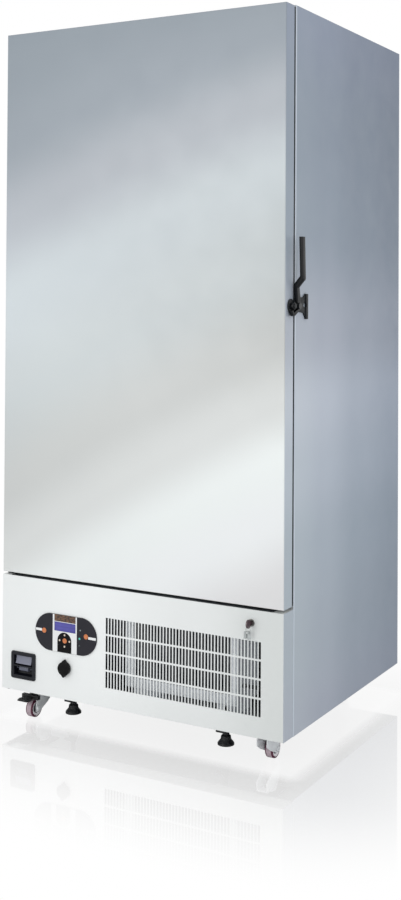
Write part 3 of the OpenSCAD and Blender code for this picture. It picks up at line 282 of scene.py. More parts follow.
def painted_side_shade(tree, y, z):
    """Bluish grey of the side faces with painted shade, palest below the middle and darker towards
    the back.
    """
    length = tree.ramp(
        tree.range(y, 0.0, 1.0, *SIDE_DEPTH),
        [
            (0.1, shade("#CCD3DC")),
            (0.3, shade("#C2C9D5")),
            (0.6, shade("#ADB6C4")),
            (1.0, shade("#9BA5B5")),
        ],
    )
    height = tree.ramp(
        tree.range(z, 0.0, 1.0, *SIDE_HEIGHT),
        [
            (0.00, (0.76, 0.76, 0.78, 1)),
            (0.12, (0.74, 0.77, 0.77, 1)),
            (0.25, (0.78, 0.82, 0.82, 1)),
            (0.36, (0.92, 0.94, 0.94, 1)),
            (0.45, (1.00, 1.00, 1.00, 1)),
            (0.55, (0.78, 0.78, 0.80, 1)),
            (0.70, (0.52, 0.57, 0.61, 1)),
            (0.85, (0.47, 0.52, 0.57, 1)),
            (1.00, (0.47, 0.51, 0.59, 1)),
        ],
    )
    body = tree.mix(length, height, 1.0, "MULTIPLY")
    drift = tree.range(tree.noise(2.5, 2.0), 0.0, 1.0)
    return dulled(tree, body, drift, (0.96, 0.96, 0.97, 1), 0.6)


def door_paint(name, hex_colour):
    """Satin paint with a metal flake and a broad slanting painted sheen, and with bluer side faces
    in painted shade.
    """
    tree = painted(name, 0.36, 0.10, 0.0022)
    tree.set(Metallic=0.12)
    x, y, z = tree.axes()
    # The slanting sheen is a painted reflection, laid into the base colour along a slant
    lean = tree.maths("MULTIPLY_ADD", z, DOOR_LEAN[1], DOOR_LEAN[0])
    slant = tree.maths("SUBTRACT", z, tree.maths("MULTIPLY", x, lean))
    tones = [(height, shade(tone)) for height, tone in DOOR_PAINTED_SHEEN]
    painted_sheen = tree.ramp(tree.range(slant, 0.0, 1.0, 0.2, 2.2), tones)
    # Painted highlight towards the left and painted shade towards the right, at mid height
    across = tree.range(x, 0.14, -0.15, *FRONT_FACE)
    turned = tree.maths("MULTIPLY_ADD", across, tree.band(z, 0.95, 1.45, 0.14), 1.0)
    painted_sheen = tree.mix(painted_sheen, turned, 1.0, "MULTIPLY")
    drift = tree.range(tree.noise(2.2, 2.0), 0.0, 1.0)
    painted_sheen = dulled(tree, painted_sheen, drift, (0.95, 0.95, 0.96, 1), 0.5)
    flake = tree.cells(2600.0).outputs["Distance"]
    painted_sheen = dulled(tree, painted_sheen, flake, (0.94, 0.94, 0.95, 1), 0.35)
    # The side faces take the painted side shade
    side = tree.range(x, 0.0, 1.0, *SIDE_FACE)
    whole = tree.mix(painted_sheen, painted_side_shade(tree, y, z), side)
    tree.colour(tinted(tree, whole, hex_colour, DOOR_COLOUR))
    return tree.material


def cabinet_paint(name, hex_colour):
    """The same satin paint in a bluer grey with painted shade, and a painted highlight along the
    front edge.
    """
    tree = painted(name, 0.38, 0.10, 0.002)
    _, y, z = tree.axes()
    # Painted highlight along the front edge, where its rounding would catch the light
    highlight_front, highlight_back = -0.3290, -0.3218
    edge_highlight = tree.band(y, highlight_front, highlight_back, 0.0008)
    whole = tree.mix(painted_side_shade(tree, y, z), shade("#CDD6E0"), edge_highlight)
    tree.colour(tinted(tree, whole, hex_colour, CABINET_COLOUR))
    return tree.material


def panel_paint(name, hex_colour):
    """White satin paint with painted shade, a little greyer towards the latch side, and bluish side
    faces with painted shade.
    """
    tree = painted(name, 0.34, 0.10, 0.0008)
    x, y, z = tree.axes()
    # Painted shade: the front darkens towards the latch side
    front = tree.ramp(
        tree.range(x, 0.0, 1.0, *FRONT_FACE),
        [
            (0.00, shade("#EDEFEE")),
            (0.35, shade("#F4F6F5")),
            (0.70, shade("#E9EBEA")),
            (1.00, shade("#DADDDB")),
        ],
    )
    drift = tree.range(tree.noise(3.0, 2.0), 0.0, 1.0)
    front = dulled(tree, front, drift, (0.97, 0.97, 0.97, 1), 0.6)
    side = tree.range(x, 0.0, 1.0, *SIDE_FACE)
    whole = tree.mix(front, painted_side_shade(tree, y, z), side)
    tree.colour(tinted(tree, whole, hex_colour, PANEL_COLOUR))
    return tree.material


def plain_paint(name, hex_colour, roughness, glow=0.0):
    """Paint in one colour, with a faint painted glow that lifts it where it sits in shade."""
    tree = painted(name, roughness)
    tree.colour(varied(tree, hex_colour, 0.025, 3.0))
    # Painted glow: emission that brightens the sheet in the dark machine compartment
    if glow:
        tree.set(Emission_Color=shade("#E6ECF2"), Emission_Strength=glow)
    return tree.material


def rear_paint(name, hex_colour):
    """Painted rear sheet held by a row of screws along each side edge."""
    tree = painted(name, 0.42, 0.14)
    x, _, z = tree.axes()
    screw_x, screw_z, pitch = 0.428, 0.03, 0.18
    across = tree.maths("ABSOLUTE", tree.maths("ADD", x, FRAME_ORIGIN[0]))
    edge = tree.maths("SUBTRACT", across, screw_x)
    along = tree.maths("MODULO", tree.maths("ADD", z, screw_z), pitch)
    row = tree.maths("SUBTRACT", along, pitch / 2)
    squares = tree.maths("ADD", tree.maths("POWER", edge, 2.0), tree.maths("POWER", row, 2.0))
    reach = tree.maths("SQRT", squares)
    head_radius, recess_radius = (0.0038, 0.0046), (0.0012, 0.0018)
    head = tree.range(reach, 1.0, 0.0, *head_radius)
    recess = tree.range(reach, 1.0, 0.0, *recess_radius)
    paint = varied(tree, hex_colour, 0.03, 3.0)
    steel = tree.mix(paint, shade("#B9BDC2"), head)
    tree.colour(tree.mix(steel, shade("#2A2C30"), recess))
    tree.link(head, tree.shader.inputs["Metallic"])
    tree.bump((tree.noise(650.0, 1.0), 0.12, 0.0002), (head, 0.6, 0.0012), rounding=0.001)
    return tree.material


def zinc_sheet(name, hex_colour):
    """Hot-dipped zinc with its crystal flowers."""
    tree = Tree(name)
    flowers = tree.cells(120.0).outputs["Color"]
    tone = tree.maths("MULTIPLY_ADD", flowers, 0.35, 0.0)
    base = Vector(shade(hex_colour)[:3])
    tree.colour(tree.ramp(tone, [(0.0, (*(base * 0.72), 1)), (0.35, (*base, 1))], smooth=False))
    tree.set(Metallic=0.85)
    tree.roughness(tree.range(tone, 0.30, 0.46, 0.0, 0.35))
    tree.bump((tree.noise(420.0, 2.0), 0.08, 0.0002), rounding=0.0006)
    return tree.material


def brushed(name, hex_colour, along, roughness=0.30):
    """Steel with brush marks along one direction."""
    tree = Tree(name)
    marks = tree.noise(55.0, 6.0, 0.7, tree.stretched(along))
    base = Vector(shade(hex_colour)[:3])
    tones = [(0.0, (*(base * 0.84), 1)), (1.0, (*base, 1))]
    tree.colour(tree.ramp(tree.range(marks, 0.0, 1.0), tones, smooth=False))
    tree.set(Metallic=1.0)
    tree.roughness(tree.range(marks, roughness - 0.06, roughness + 0.08))
    tree.bump((marks, 0.10, 0.0001), (tree.noise(9.0, 2.0), 0.05, 0.0006), rounding=0.0006)
    return tree.material


def hinge_pins(name):
    """Turned steel pins, black where they carry the latch."""
    tree = Tree(name)
    marks = tree.noise(55.0, 6.0, 0.7, tree.stretched((60.0, 60.0, 1.0)))
    tones = [(0.0, shade("#7F8284")), (1.0, shade("#8F9294"))]
    steel = tree.ramp(tree.range(marks, 0.0, 1.0), tones, smooth=False)
    x = tree.axes()[0]
    latch_side = tree.range(x, 0.0, 1.0, 0.405, 0.410)
    tree.colour(tree.mix(steel, shade("#1B1E22"), latch_side))
    tree.link(tree.maths("SUBTRACT", 1.0, latch_side), tree.shader.inputs["Metallic"])
    tree.roughness(tree.range(marks, 0.22, 0.40))
    tree.bump((marks, 0.10, 0.0001), rounding=0.0006)
    return tree.material


def plated(name, hex_colour, roughness=0.22, rounding=0.0005, wear=0.12, metallic=1.0):
    """Bright plating, a little duller where hands and grit rub it."""
    tree = Tree(name)
    rub = tree.range(tree.noise(60.0, 4.0, 0.6), 0.0, 1.0)
    base = Vector(shade(hex_colour)[:3])
    tree.colour(tree.ramp(rub, [(0.0, (*(base * (1 - wear)), 1)), (1.0, (*base, 1))]))
    tree.set(Metallic=metallic)
    tree.roughness(tree.range(rub, roughness + 0.12, roughness, 0.0, 1.0))
    tree.bump((tree.noise(900.0, 2.0), 0.06, 0.0001), rounding=rounding)
    return tree.material


def coated_casting(
    name, hex_colour, roughness=0.42, grain=520.0, depth=0.30, rounding=0.0008, gleam=0.3
):
    """Powder coat that follows the casting's fine grain, a little paler where it is raised."""
    tree = Tree(name)
    texture = tree.noise(grain, 3.0, 0.6)
    base = Vector(shade(hex_colour)[:3])
    lift = base + Vector((0.005, 0.006, 0.007))
    worn = tree.range(texture, 0.0, 1.0, 0.45, 0.75)
    tree.colour(tree.ramp(worn, [(0.0, (*base, 1)), (1.0, (*lift, 1))]))
    tree.set(Specular_IOR_Level=gleam)
    tree.roughness(tree.range(tree.noise(40.0, 2.0), roughness - 0.06, roughness + 0.08))
    tree.bump((texture, depth, 0.0003), rounding=rounding)
    return tree.material


def moulded(
    name, hex_colour, roughness=0.45, grain=1500.0, depth=0.18, rounding=0.0006, gleam=0.4
):
    """Moulded plastic with a spark-eroded grain."""
    tree = Tree(name)
    tree.colour(varied(tree, hex_colour, 0.03, 12.0))
    tree.set(Specular_IOR_Level=gleam)
    tree.roughness(tree.range(tree.noise(90.0, 2.0), roughness - 0.05, roughness + 0.06))
    tree.bump((tree.noise(grain, 2.0), depth, 0.00015), rounding=rounding)
    return tree.material


def rubber(name, hex_colour, roughness=0.72, dust=0.03):
    """Soft rubber with a dusty bloom."""
    tree = Tree(name)
    bloom = tree.range(tree.noise(70.0, 5.0, 0.65), 0.0, 1.0, 0.4, 0.75)
    base = Vector(shade(hex_colour)[:3])
    dusty = base + Vector((dust, dust, dust))
    tree.colour(tree.ramp(bloom, [(0.0, (*base, 1)), (1.0, (*dusty, 1))]))
    tree.roughness(tree.range(bloom, roughness, roughness + 0.15, 0.0, 1.0))
    tree.bump((tree.noise(1100.0, 3.0), 0.2, 0.0002), rounding=0.0006)
    return tree.material


def drawn_copper(name):
    """Copper tube gone brown in patches."""
    tree = Tree(name)
    patina = tree.range(tree.noise(35.0, 5.0, 0.65), 0.0, 1.0, 0.35, 0.72)
    browns = [(0.0, shade("#C4805A")), (0.6, shade("#A9643F")), (1.0, shade("#6E4430"))]
    tree.colour(tree.ramp(patina, browns))
    tree.set(Metallic=1.0)
    tree.roughness(tree.range(patina, 0.28, 0.55, 0.0, 1.0))
    tree.bump((tree.noise(300.0, 3.0), 0.1, 0.0002))
    return tree.material


def foam(name):
    """Rigid foam with open cells at its cut faces."""
    tree = Tree(name)
    cells = tree.cells(420.0).outputs["Distance"]
    tree.colour(tree.ramp(cells, [(0.0, shade("#C9B67C")), (0.5, shade("#E8D9A6"))]))
    tree.set(Roughness=0.9)
    tree.bump((cells, 0.5, 0.0008))
    return tree.material


def fins(name):
    """Aluminium fins, painted dark as shade for their depth, with a noise of dust."""
    tree = Tree(name)
    dust = tree.range(tree.noise(30.0, 5.0, 0.7), 0.0, 1.0)
    tree.colour(tree.ramp(dust, [(0.0, shade("#585C60")), (1.0, shade("#8A8E92"))]))
    tree.set(Metallic=0.8)
    tree.roughness(tree.range(dust, 0.35, 0.6, 0.0, 1.0))
    tree.bump((tree.noise(500.0, 2.0), 0.15, 0.0002))
    return tree.material


def circuit_board(name):
    """Green solder mask with tracks showing through."""
    tree = Tree(name)
    tracks = tree.cells(260.0, "DISTANCE_TO_EDGE").outputs["Distance"]
    greens = [(0.0, shade("#4F8A55")), (0.06, shade("#4F8A55")), (0.09, shade("#1F4A2E"))]
    tree.colour(tree.ramp(tracks, greens, smooth=False))
    tree.set(Roughness=0.3)
    tree.bump((tracks, 0.15, 0.0003))
    return tree.material


def display_glass(name):
    """Indigo liquid-crystal window with faint cells under a glossy cover."""
    tree = Tree(name)
    x, _, z = tree.axes()
    pitch_x, pitch_z, gap_x, gap_z = 0.0036, 0.0090, 0.0002, 0.0004
    column = tree.maths("MODULO", tree.maths("ADD", x, 2.0), pitch_x)
    column = tree.band(column, gap_x, pitch_x - gap_x, gap_x / 2)
    row = tree.band(tree.maths("MODULO", z, pitch_z), gap_z, pitch_z - gap_z, gap_z / 2)
    cell = tree.maths("MULTIPLY", column, row)
    lit = tree.ramp(tree.noise(18.0, 1.0), [(0.3, shade("#353280")), (0.7, shade("#4C49A0"))])
    tree.colour(tree.mix(shade("#2E2B74"), lit, cell))
    glow = tree.mix(shade("#16143C"), shade("#2B2968"), cell)
    tree.link(glow, tree.shader.inputs["Emission Color"])
    tree.set(Emission_Strength=0.5, Coat_Weight=0.6, Coat_Roughness=0.05)
    tree.roughness(tree.range(tree.noise(50.0, 2.0), 0.12, 0.22))
    return tree.material


def film(name, hex_colour, gleam=0.4):
    """Printed polyester film over the controls."""
    return moulded(name, hex_colour, 0.35, 2200.0, 0.1, 0.0, gleam)


def title_film(name):
    """Brown film printed with soft copper-coloured patches and no lettering."""
    tree = Tree(name)
    patches = tree.noise(210.0, 3.0, 0.6, tree.stretched((0.6, 1.0, 1.6)))
    patches = tree.range(patches, 0.0, 1.0, 0.42, 0.62)
    tree.colour(tree.ramp(patches, [(0.0, shade("#372A26")), (1.0, shade("#79563D"))]))
    tree.roughness(tree.range(tree.noise(90.0, 2.0), 0.32, 0.42))
    tree.bump((tree.noise(2200.0, 2.0), 0.1, 0.00015))
    return tree.material


def lamp_lens(name, hex_colour, strength=0.6):
    """A small lit lens with a faint mottle in its glow."""
    tree = Tree(name)
    glow = tree.noise(300.0, 1.0)
    colour = Vector(shade(hex_colour)[:3])
    tree.colour(tree.ramp(glow, [(0.3, (*(colour * 0.8), 1)), (0.7, (*colour, 1))]))
    shine = tree.ramp(glow, [(0.3, (*(colour * 0.7), 1)), (0.7, (*colour, 1))])
    tree.link(shine, tree.shader.inputs["Emission Color"])
    tree.set(Emission_Strength=strength, Coat_Weight=0.8, Coat_Roughness=0.05, Roughness=0.3)
    return tree.material


def slot_finishes(settings):
    """The maker of every record slot's finish, with what it is given after the slot's name."""
    return {
        "cabinet_paint": (cabinet_paint, settings.cabinet_colour_hex),
        "rear_paint": (rear_paint, "#98A3B2"),
        "zinc_sheet": (zinc_sheet, "#C4C7C9"),
        "foam": (foam,),
        "inner_steel": (brushed, "#C9CCCE", (1.0, 60.0, 1.0)),
        "frame_plastic": (moulded, "#DADCDD", 0.5),
        "copper": (drawn_copper,),
        "line_sleeve": (rubber, "#26272A", 0.65),
        "shelf_steel": (brushed, "#C2C5C7", (1.0, 50.0, 50.0), 0.26),
        "hinge_steel": (coated_casting, "#55585C", 0.4, 900.0, 0.12),
        "pin_steel": (hinge_pins,),
        "black_cast": (coated_casting, "#101317", 0.46),
        "black_steel": (coated_casting, "#17181B", 0.4, 900.0, 0.12),
        "zinc_castor": (plated, "#ECEEF0", 0.38, 0.0005, 0.10, 0.15),
        "compressor_paint": (coated_casting, "#17181A", 0.3, 240.0, 0.15),
        "black_rubber": (rubber, "#1B1B1C"),
        "condenser_fins": (fins,),
        # The duct sheet gets a faint painted glow
        "duct_sheet": (plain_paint, "#F2F6FA", 0.4, 0.10),
        "motor_black": (coated_casting, "#2B2C2F", 0.42, 700.0, 0.15),
        "exchanger_steel": (brushed, "#B7BABC", (50.0, 50.0, 1.0), 0.3),
        "box_paint": (plain_paint, "#C7C9CA", 0.42),
        "inlet_black": (moulded, "#18181A", 0.45),
        "fan_sheet": (brushed, "#8D9093", (20.0, 1.0, 20.0), 0.34),
        "door_paint": (door_paint, settings.door_colour_hex),
        "liner_plastic": (moulded, "#E9EBEC", 0.38, 600.0, 0.1),
        "seal_rubber": (rubber, "#2F3337", 0.6),
        "bush_plastic": (moulded, "#E4E2DA", 0.5),
        "roller_black": (moulded, "#121417", 0.35, 1500.0, 0.18, 0.0006, 0.3),
        "lever_black": (coated_casting, "#070A0E", 0.34, 700.0, 0.14, 0.0012, 0.22),
        "inner_door_white": (moulded, "#E6E8E9", 0.4, 500.0, 0.12, 0.0015),
        "panel_paint": (panel_paint, settings.panel_colour_hex),
        "fascia_grey": (film, settings.fascia_colour_hex, 0.25),
        "display_black": (display_glass,),
        "board_green": (circuit_board,),
        "bezel_black": (moulded, "#10121A", 0.38, 1200.0, 0.2, 0.0012, 0.3),
        "lock_chrome": (plated, "#767673", 0.24),
        "rocker_lilac": (moulded, "#7C7E8D", 0.4),
        "toggle_grey": (moulded, "#585B69", 0.4),
        "key_steel": (plated, "#6F6466", 0.24, 0.0003),
        "ring_steel": (plated, "#C6CAC9", 0.30, 0.0002, 0.10, 0.6),
        "knob_black": (moulded, "#030304", 0.36, 1800.0, 0.05, 0.0008, 0.15),
        "key_orange": (moulded, settings.key_colour_hex, 0.42, 1500.0, 0.15, 0.0006, 0.25),
        "tyre_maroon": (moulded, settings.tyre_colour_hex, 0.42, 700.0, 0.2, 0.0008),
        "pedal_black": (coated_casting, "#131415", 0.38, 900.0, 0.14),
        "foot_black": (coated_casting, "#131417", 0.36, 900.0, 0.14),
    }


def trim_finishes():
    """The same for the small finishes that only the trim uses."""
    return {
        "film_white": (film, "#EDEEEE"),
        "film_black": (film, "#0C0B0D", 0.12),
        "film_title": (title_film,),
        # Near-black rubber for the painted shade in the door seam
        "seam_rubber": (rubber, "#0B0F13", 0.8, 0.004),
        "key_mark": (film, "#D9CDBE"),
        "lens_teal": (lamp_lens, "#3FA79A"),
        "lens_pale": (lamp_lens, "#7F8C8A", 0.2),
        "lens_dark": (lamp_lens, "#1E3B34", 0.1),
        # Pale band round the tread: a painted highlight on the glossy maroon tyre
        "tyre_tread": (moulded, "#B9A7AF", 0.5, 900.0, 0.15),
        "tyre_ring": (moulded, "#FBF7F9", 0.42, 900.0, 0.15),
        "hub_dark": (moulded, "#45464B", 0.4, 900.0, 0.15),
        "key_head": (moulded, "#46333A", 0.35, 1200.0, 0.12),
    }


FINISH = {}


# Mesh building
def piece(name, mesh, body, slot, *materials, sharp=35.0):
    """A finished mesh in the shared frame, riding on its body."""
    for material in materials or (slot,):
        mesh.materials.append(FINISH[material])
    mesh.shade_smooth()
    mesh.set_sharp_from_angle(angle=math.radians(sharp))
    obj = bpy.data.objects.new(name, mesh)
    bpy.context.scene.collection.objects.link(obj)
    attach(obj, body)
    return obj


def from_bmesh(name, bm):
    bmesh.ops.recalc_face_normals(bm, faces=bm.faces[:])
    mesh = bpy.data.meshes.new(name)
    bm.to_mesh(mesh)
    bm.free()
    return mesh


def ring_faces(bm, rows, material=0):
    """Faces between closed rows of vertices."""
    count = len(rows[0])
    for first, second in zip(rows, rows[1:]):
        for i in range(count):
            j = (i + 1) % count
            face = bm.faces.new((first[i], first[j], second[j], second[i]))
            face.material_index = material


def turns(steps):
    return [2 * math.pi * i / steps for i in range(steps)]


def lathe(bm, profile, centre, axis, steps, material=0):
    """Turns (along, radius) points round an axis through centre."""
    turn = Vector((0, 0, 1)).rotation_difference(Vector(axis)).to_matrix()
    rows = []
    for along, radius in profile:
        row = []
        for a in turns(steps):
            spoke = Vector((radius * math.cos(a), radius * math.sin(a), along))
            row.append(bm.verts.new(centre + turn @ spoke))
        rows.append(row)
    ring_faces(bm, rows, material)
    return rows


def close_ends(bm, rows):
    """Faces over the last and the first row."""
    bm.faces.new(rows[-1])
    bm.faces.new(rows[0][::-1])


def rounded(node, width, segments=2, angle=32.0):
    """A copy of a CAD node with softened edges, which stands for it."""
    source = frame["nodes"][node]
    bm = bmesh.new()
    bm.from_mesh(source.data)
    bmesh.ops.remove_doubles(bm, verts=bm.verts[:], dist=2e-6)
    flat, bend = math.radians(1.0), math.radians(angle)
    bmesh.ops.dissolve_limit(bm, angle_limit=flat, verts=bm.verts[:], edges=bm.edges[:])
    sharp = [e for e in bm.edges if len(e.link_faces) == 2 and e.calc_face_angle(0.0) > bend]
    bmesh.ops.bevel(
        bm,
        geom=sharp,
        offset=width,
        offset_type="OFFSET",
        segments=segments,
        profile=0.5,
        affect="EDGES",
        clamp_overlap=True,
    )
    name = node + "_soft"
    made = piece(name, from_bmesh(name, bm), source["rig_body"], SLOTS[node])
    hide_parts(node)


def outline_plate(bm, points, y_front, y_back):
    """A flat plate across Y from (x, z) points."""
    front = [bm.verts.new(Vector((x, y_front, z))) for x, z in points]
    back = [bm.verts.new(Vector((x, y_back, z))) for x, z in points]
    close_ends(bm, [back, front])
    ring_faces(bm, [front, back])


def disc_points(x, z, radius, start=0.0, end=360.0, steps=16):
    """Points of an arc, or of a full circle without the last point."""
    count = steps if end - start == 360 else steps + 1
    angles = [math.radians(start + (end - start) * i / steps) for i in range(count)]
    return [(x + radius * math.cos(a), z + radius * math.sin(a)) for a in angles]


def strip(x0, x1, z0, z1):
    """The corners of a rectangle."""
    return [(x0, z0), (x0, z1), (x1, z1), (x1, z0)]


def panel_points(points):
    """(x, z) in millimetres on the panel to (x, z) in the shared frame."""
    return [tuple(on_panel(x, z).xz) for x, z in points]


def dress(node):
    """The record's finish on a CAD node that keeps its own shape."""
    mesh = frame["nodes"][node].data
    mesh.materials.clear()
    mesh.materials.append(FINISH[SLOTS[node]])
    mesh.shade_smooth()
    mesh.set_sharp_from_angle(angle=math.radians(30))


# Settings
class FreezerFinish(bpy.types.PropertyGroup):
    door_colour_hex: bpy.props.StringProperty(
        name="Door",
        description="Door paint, as a hex colour",
        default=DOOR_COLOUR,
    )
    cabinet_colour_hex: bpy.props.StringProperty(
        name="Cabinet",
        description="Cabinet paint, as a hex colour",
        default=CABINET_COLOUR,
    )
    panel_colour_hex: bpy.props.StringProperty(
        name="Lower panel",
        description="Paint of the lower panel, as a hex colour",
        default=PANEL_COLOUR,
    )
    fascia_colour_hex: bpy.props.StringProperty(
        name="Fascia",
        description="Ends of the control fascia, as a hex colour",
        default="#24232A",
    )
    key_colour_hex: bpy.props.StringProperty(
        name="Keys",
        description="Round keys, as a hex colour",
        default="#D07F52",
    )
    tyre_colour_hex: bpy.props.StringProperty(
        name="Tyres",
        description="Castor treads, as a hex colour",
        default="#582239",
    )


class FreezerShape(bpy.types.PropertyGroup):
    cast_edge: bpy.props.FloatProperty(
        name="Casting edge",
        description="Rounding of the latch castings",
        default=0.0014,
        unit="LENGTH",
        subtype="DISTANCE",
    )
    sheet_edge: bpy.props.FloatProperty(
        name="Pressing edge",
        description="Rounding of the castor pressings",
        default=0.0008,
        unit="LENGTH",
        subtype="DISTANCE",
    )
    film_height: bpy.props.FloatProperty(
        name="Film height",
        description="Thickness of the printed film pieces",
        default=0.0003,
        unit="LENGTH",
        subtype="DISTANCE",
    )
    tyre_shoulder: bpy.props.FloatProperty(
        name="Tyre shoulder",
        description="Rounding of the castor tyres",
        default=0.003,
        unit="LENGTH",
        subtype="DISTANCE",
    )


class FreezerStage(bpy.types.PropertyGroup):
    key_power: bpy.props.FloatProperty(
        name="Front lamp",
        description="Power of the large front lamp",
        default=32.0,
        unit="POWER",
    )
    fill_power: bpy.props.FloatProperty(
        name="Side lamp",
        description="Power of the side lamp",
        default=8.5,
        unit="POWER",
    )
    surround: bpy.props.FloatProperty(
        name="Surround",
        description="Brightness of the soft surround",
        default=0.75,
    )
    mirror: bpy.props.FloatProperty(
        name="Floor gloss",
        description="Share of the floor's mirror image near the freezer",
        default=0.28,
    )


# Operators
class FREEZER_OT_finishes(bpy.types.Operator):
    """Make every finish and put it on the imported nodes"""

    bl_idname = "freezer.finishes"
    bl_label = "Finishes"

    def execute(self, context):
        finishes = {**slot_finishes(context.scene.freezer_finish), **trim_finishes()}
        for name, (maker, *values) in finishes.items():
            FINISH[name] = maker(name, *values)
        for node in frame["nodes"]:
            dress(node)
        return {"FINISHED"}


class FREEZER_OT_latch(bpy.types.Operator):
    """Latch lever, its bracket, and the strike with its roller"""

    bl_idname = "freezer.latch"
    bl_label = "Latch"

    def execute(self, context):
        edge = context.scene.freezer_shape.cast_edge
        rounded("latch_lever", edge, segments=3)
        rounded("latch_bracket", edge * 0.7)
        rounded("strike_base", edge * 0.5)
        rounded("strike_roller", edge * 0.6)
        return {"FINISHED"}


class FREEZER_OT_seam_shade(bpy.types.Operator):
    """Dark lips in the seams round the door and above the lower panel, put there as painted shade
    in the gaps
    """

    bl_idname = "freezer.seals"
    bl_label = "Seam_shade"

    def panel_shade_strip(self):
        """Dark foam strip on the panel's top flange, painted shade for the gap below the door."""
        low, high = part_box("front_panel")
        bm = bmesh.new()
        section = [
            (0.0012, 0.0), (0.0010, 0.0008), (0.0022, 0.0012),
            (0.0478, 0.0012), (0.0490, 0.0008), (0.0488, 0.0),
        ]
        left_end, right_end, inner_step = 0.030, 0.032, 0.4
        rows = [
            [bm.verts.new(Vector((x, low.y + across, high.z + rise))) for across, rise in section]
            for x in (low.x + left_end, low.x + inner_step, high.x - inner_step, high.x - right_end)
        ]
        ring_faces(bm, rows)
        close_ends(bm, rows)
        piece("panel_shade_strip", from_bmesh("panel_shade_strip", bm), "panel", "seal_rubber", sharp=60)

    def door_shade_lip(self):
        """Dark folded lip round the gasket, painted shade for the seam between the door and the
        cabinet.
        """
        low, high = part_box("door_skin")
        hinge_end, inner = low.x + 0.08, 0.0125
        folds = (
            (-0.0088, 0.0), (-0.0066, 0.0002), (-0.0048, 0.0022),
            (-0.0030, 0.0002), (-0.0006, 0.0),
        )
        bm = bmesh.new()
        rows = []
        for y, inset in folds:
            outer = 0.0012 + inset
            corners = [
                (hinge_end, low.z + outer), (high.x - outer, low.z + outer),
                (high.x - outer, high.z - outer), (hinge_end, high.z - outer),
                (hinge_end, high.z - inner), (high.x - inner, high.z - inner),
                (high.x - inner, low.z + inner), (hinge_end, low.z + inner),
            ]
            rows.append([bm.verts.new(Vector((x, at(0, y, 0).y, z))) for x, z in corners])
        ring_faces(bm, rows)
        close_ends(bm, rows)
        mesh = from_bmesh("door_shade_lip", bm)
        piece("door_shade_lip", mesh, "door", "seal_rubber", "seam_rubber", sharp=60)

    def execute(self, context):
        self.panel_shade_strip()
        self.door_shade_lip()
        return {"FINISHED"}


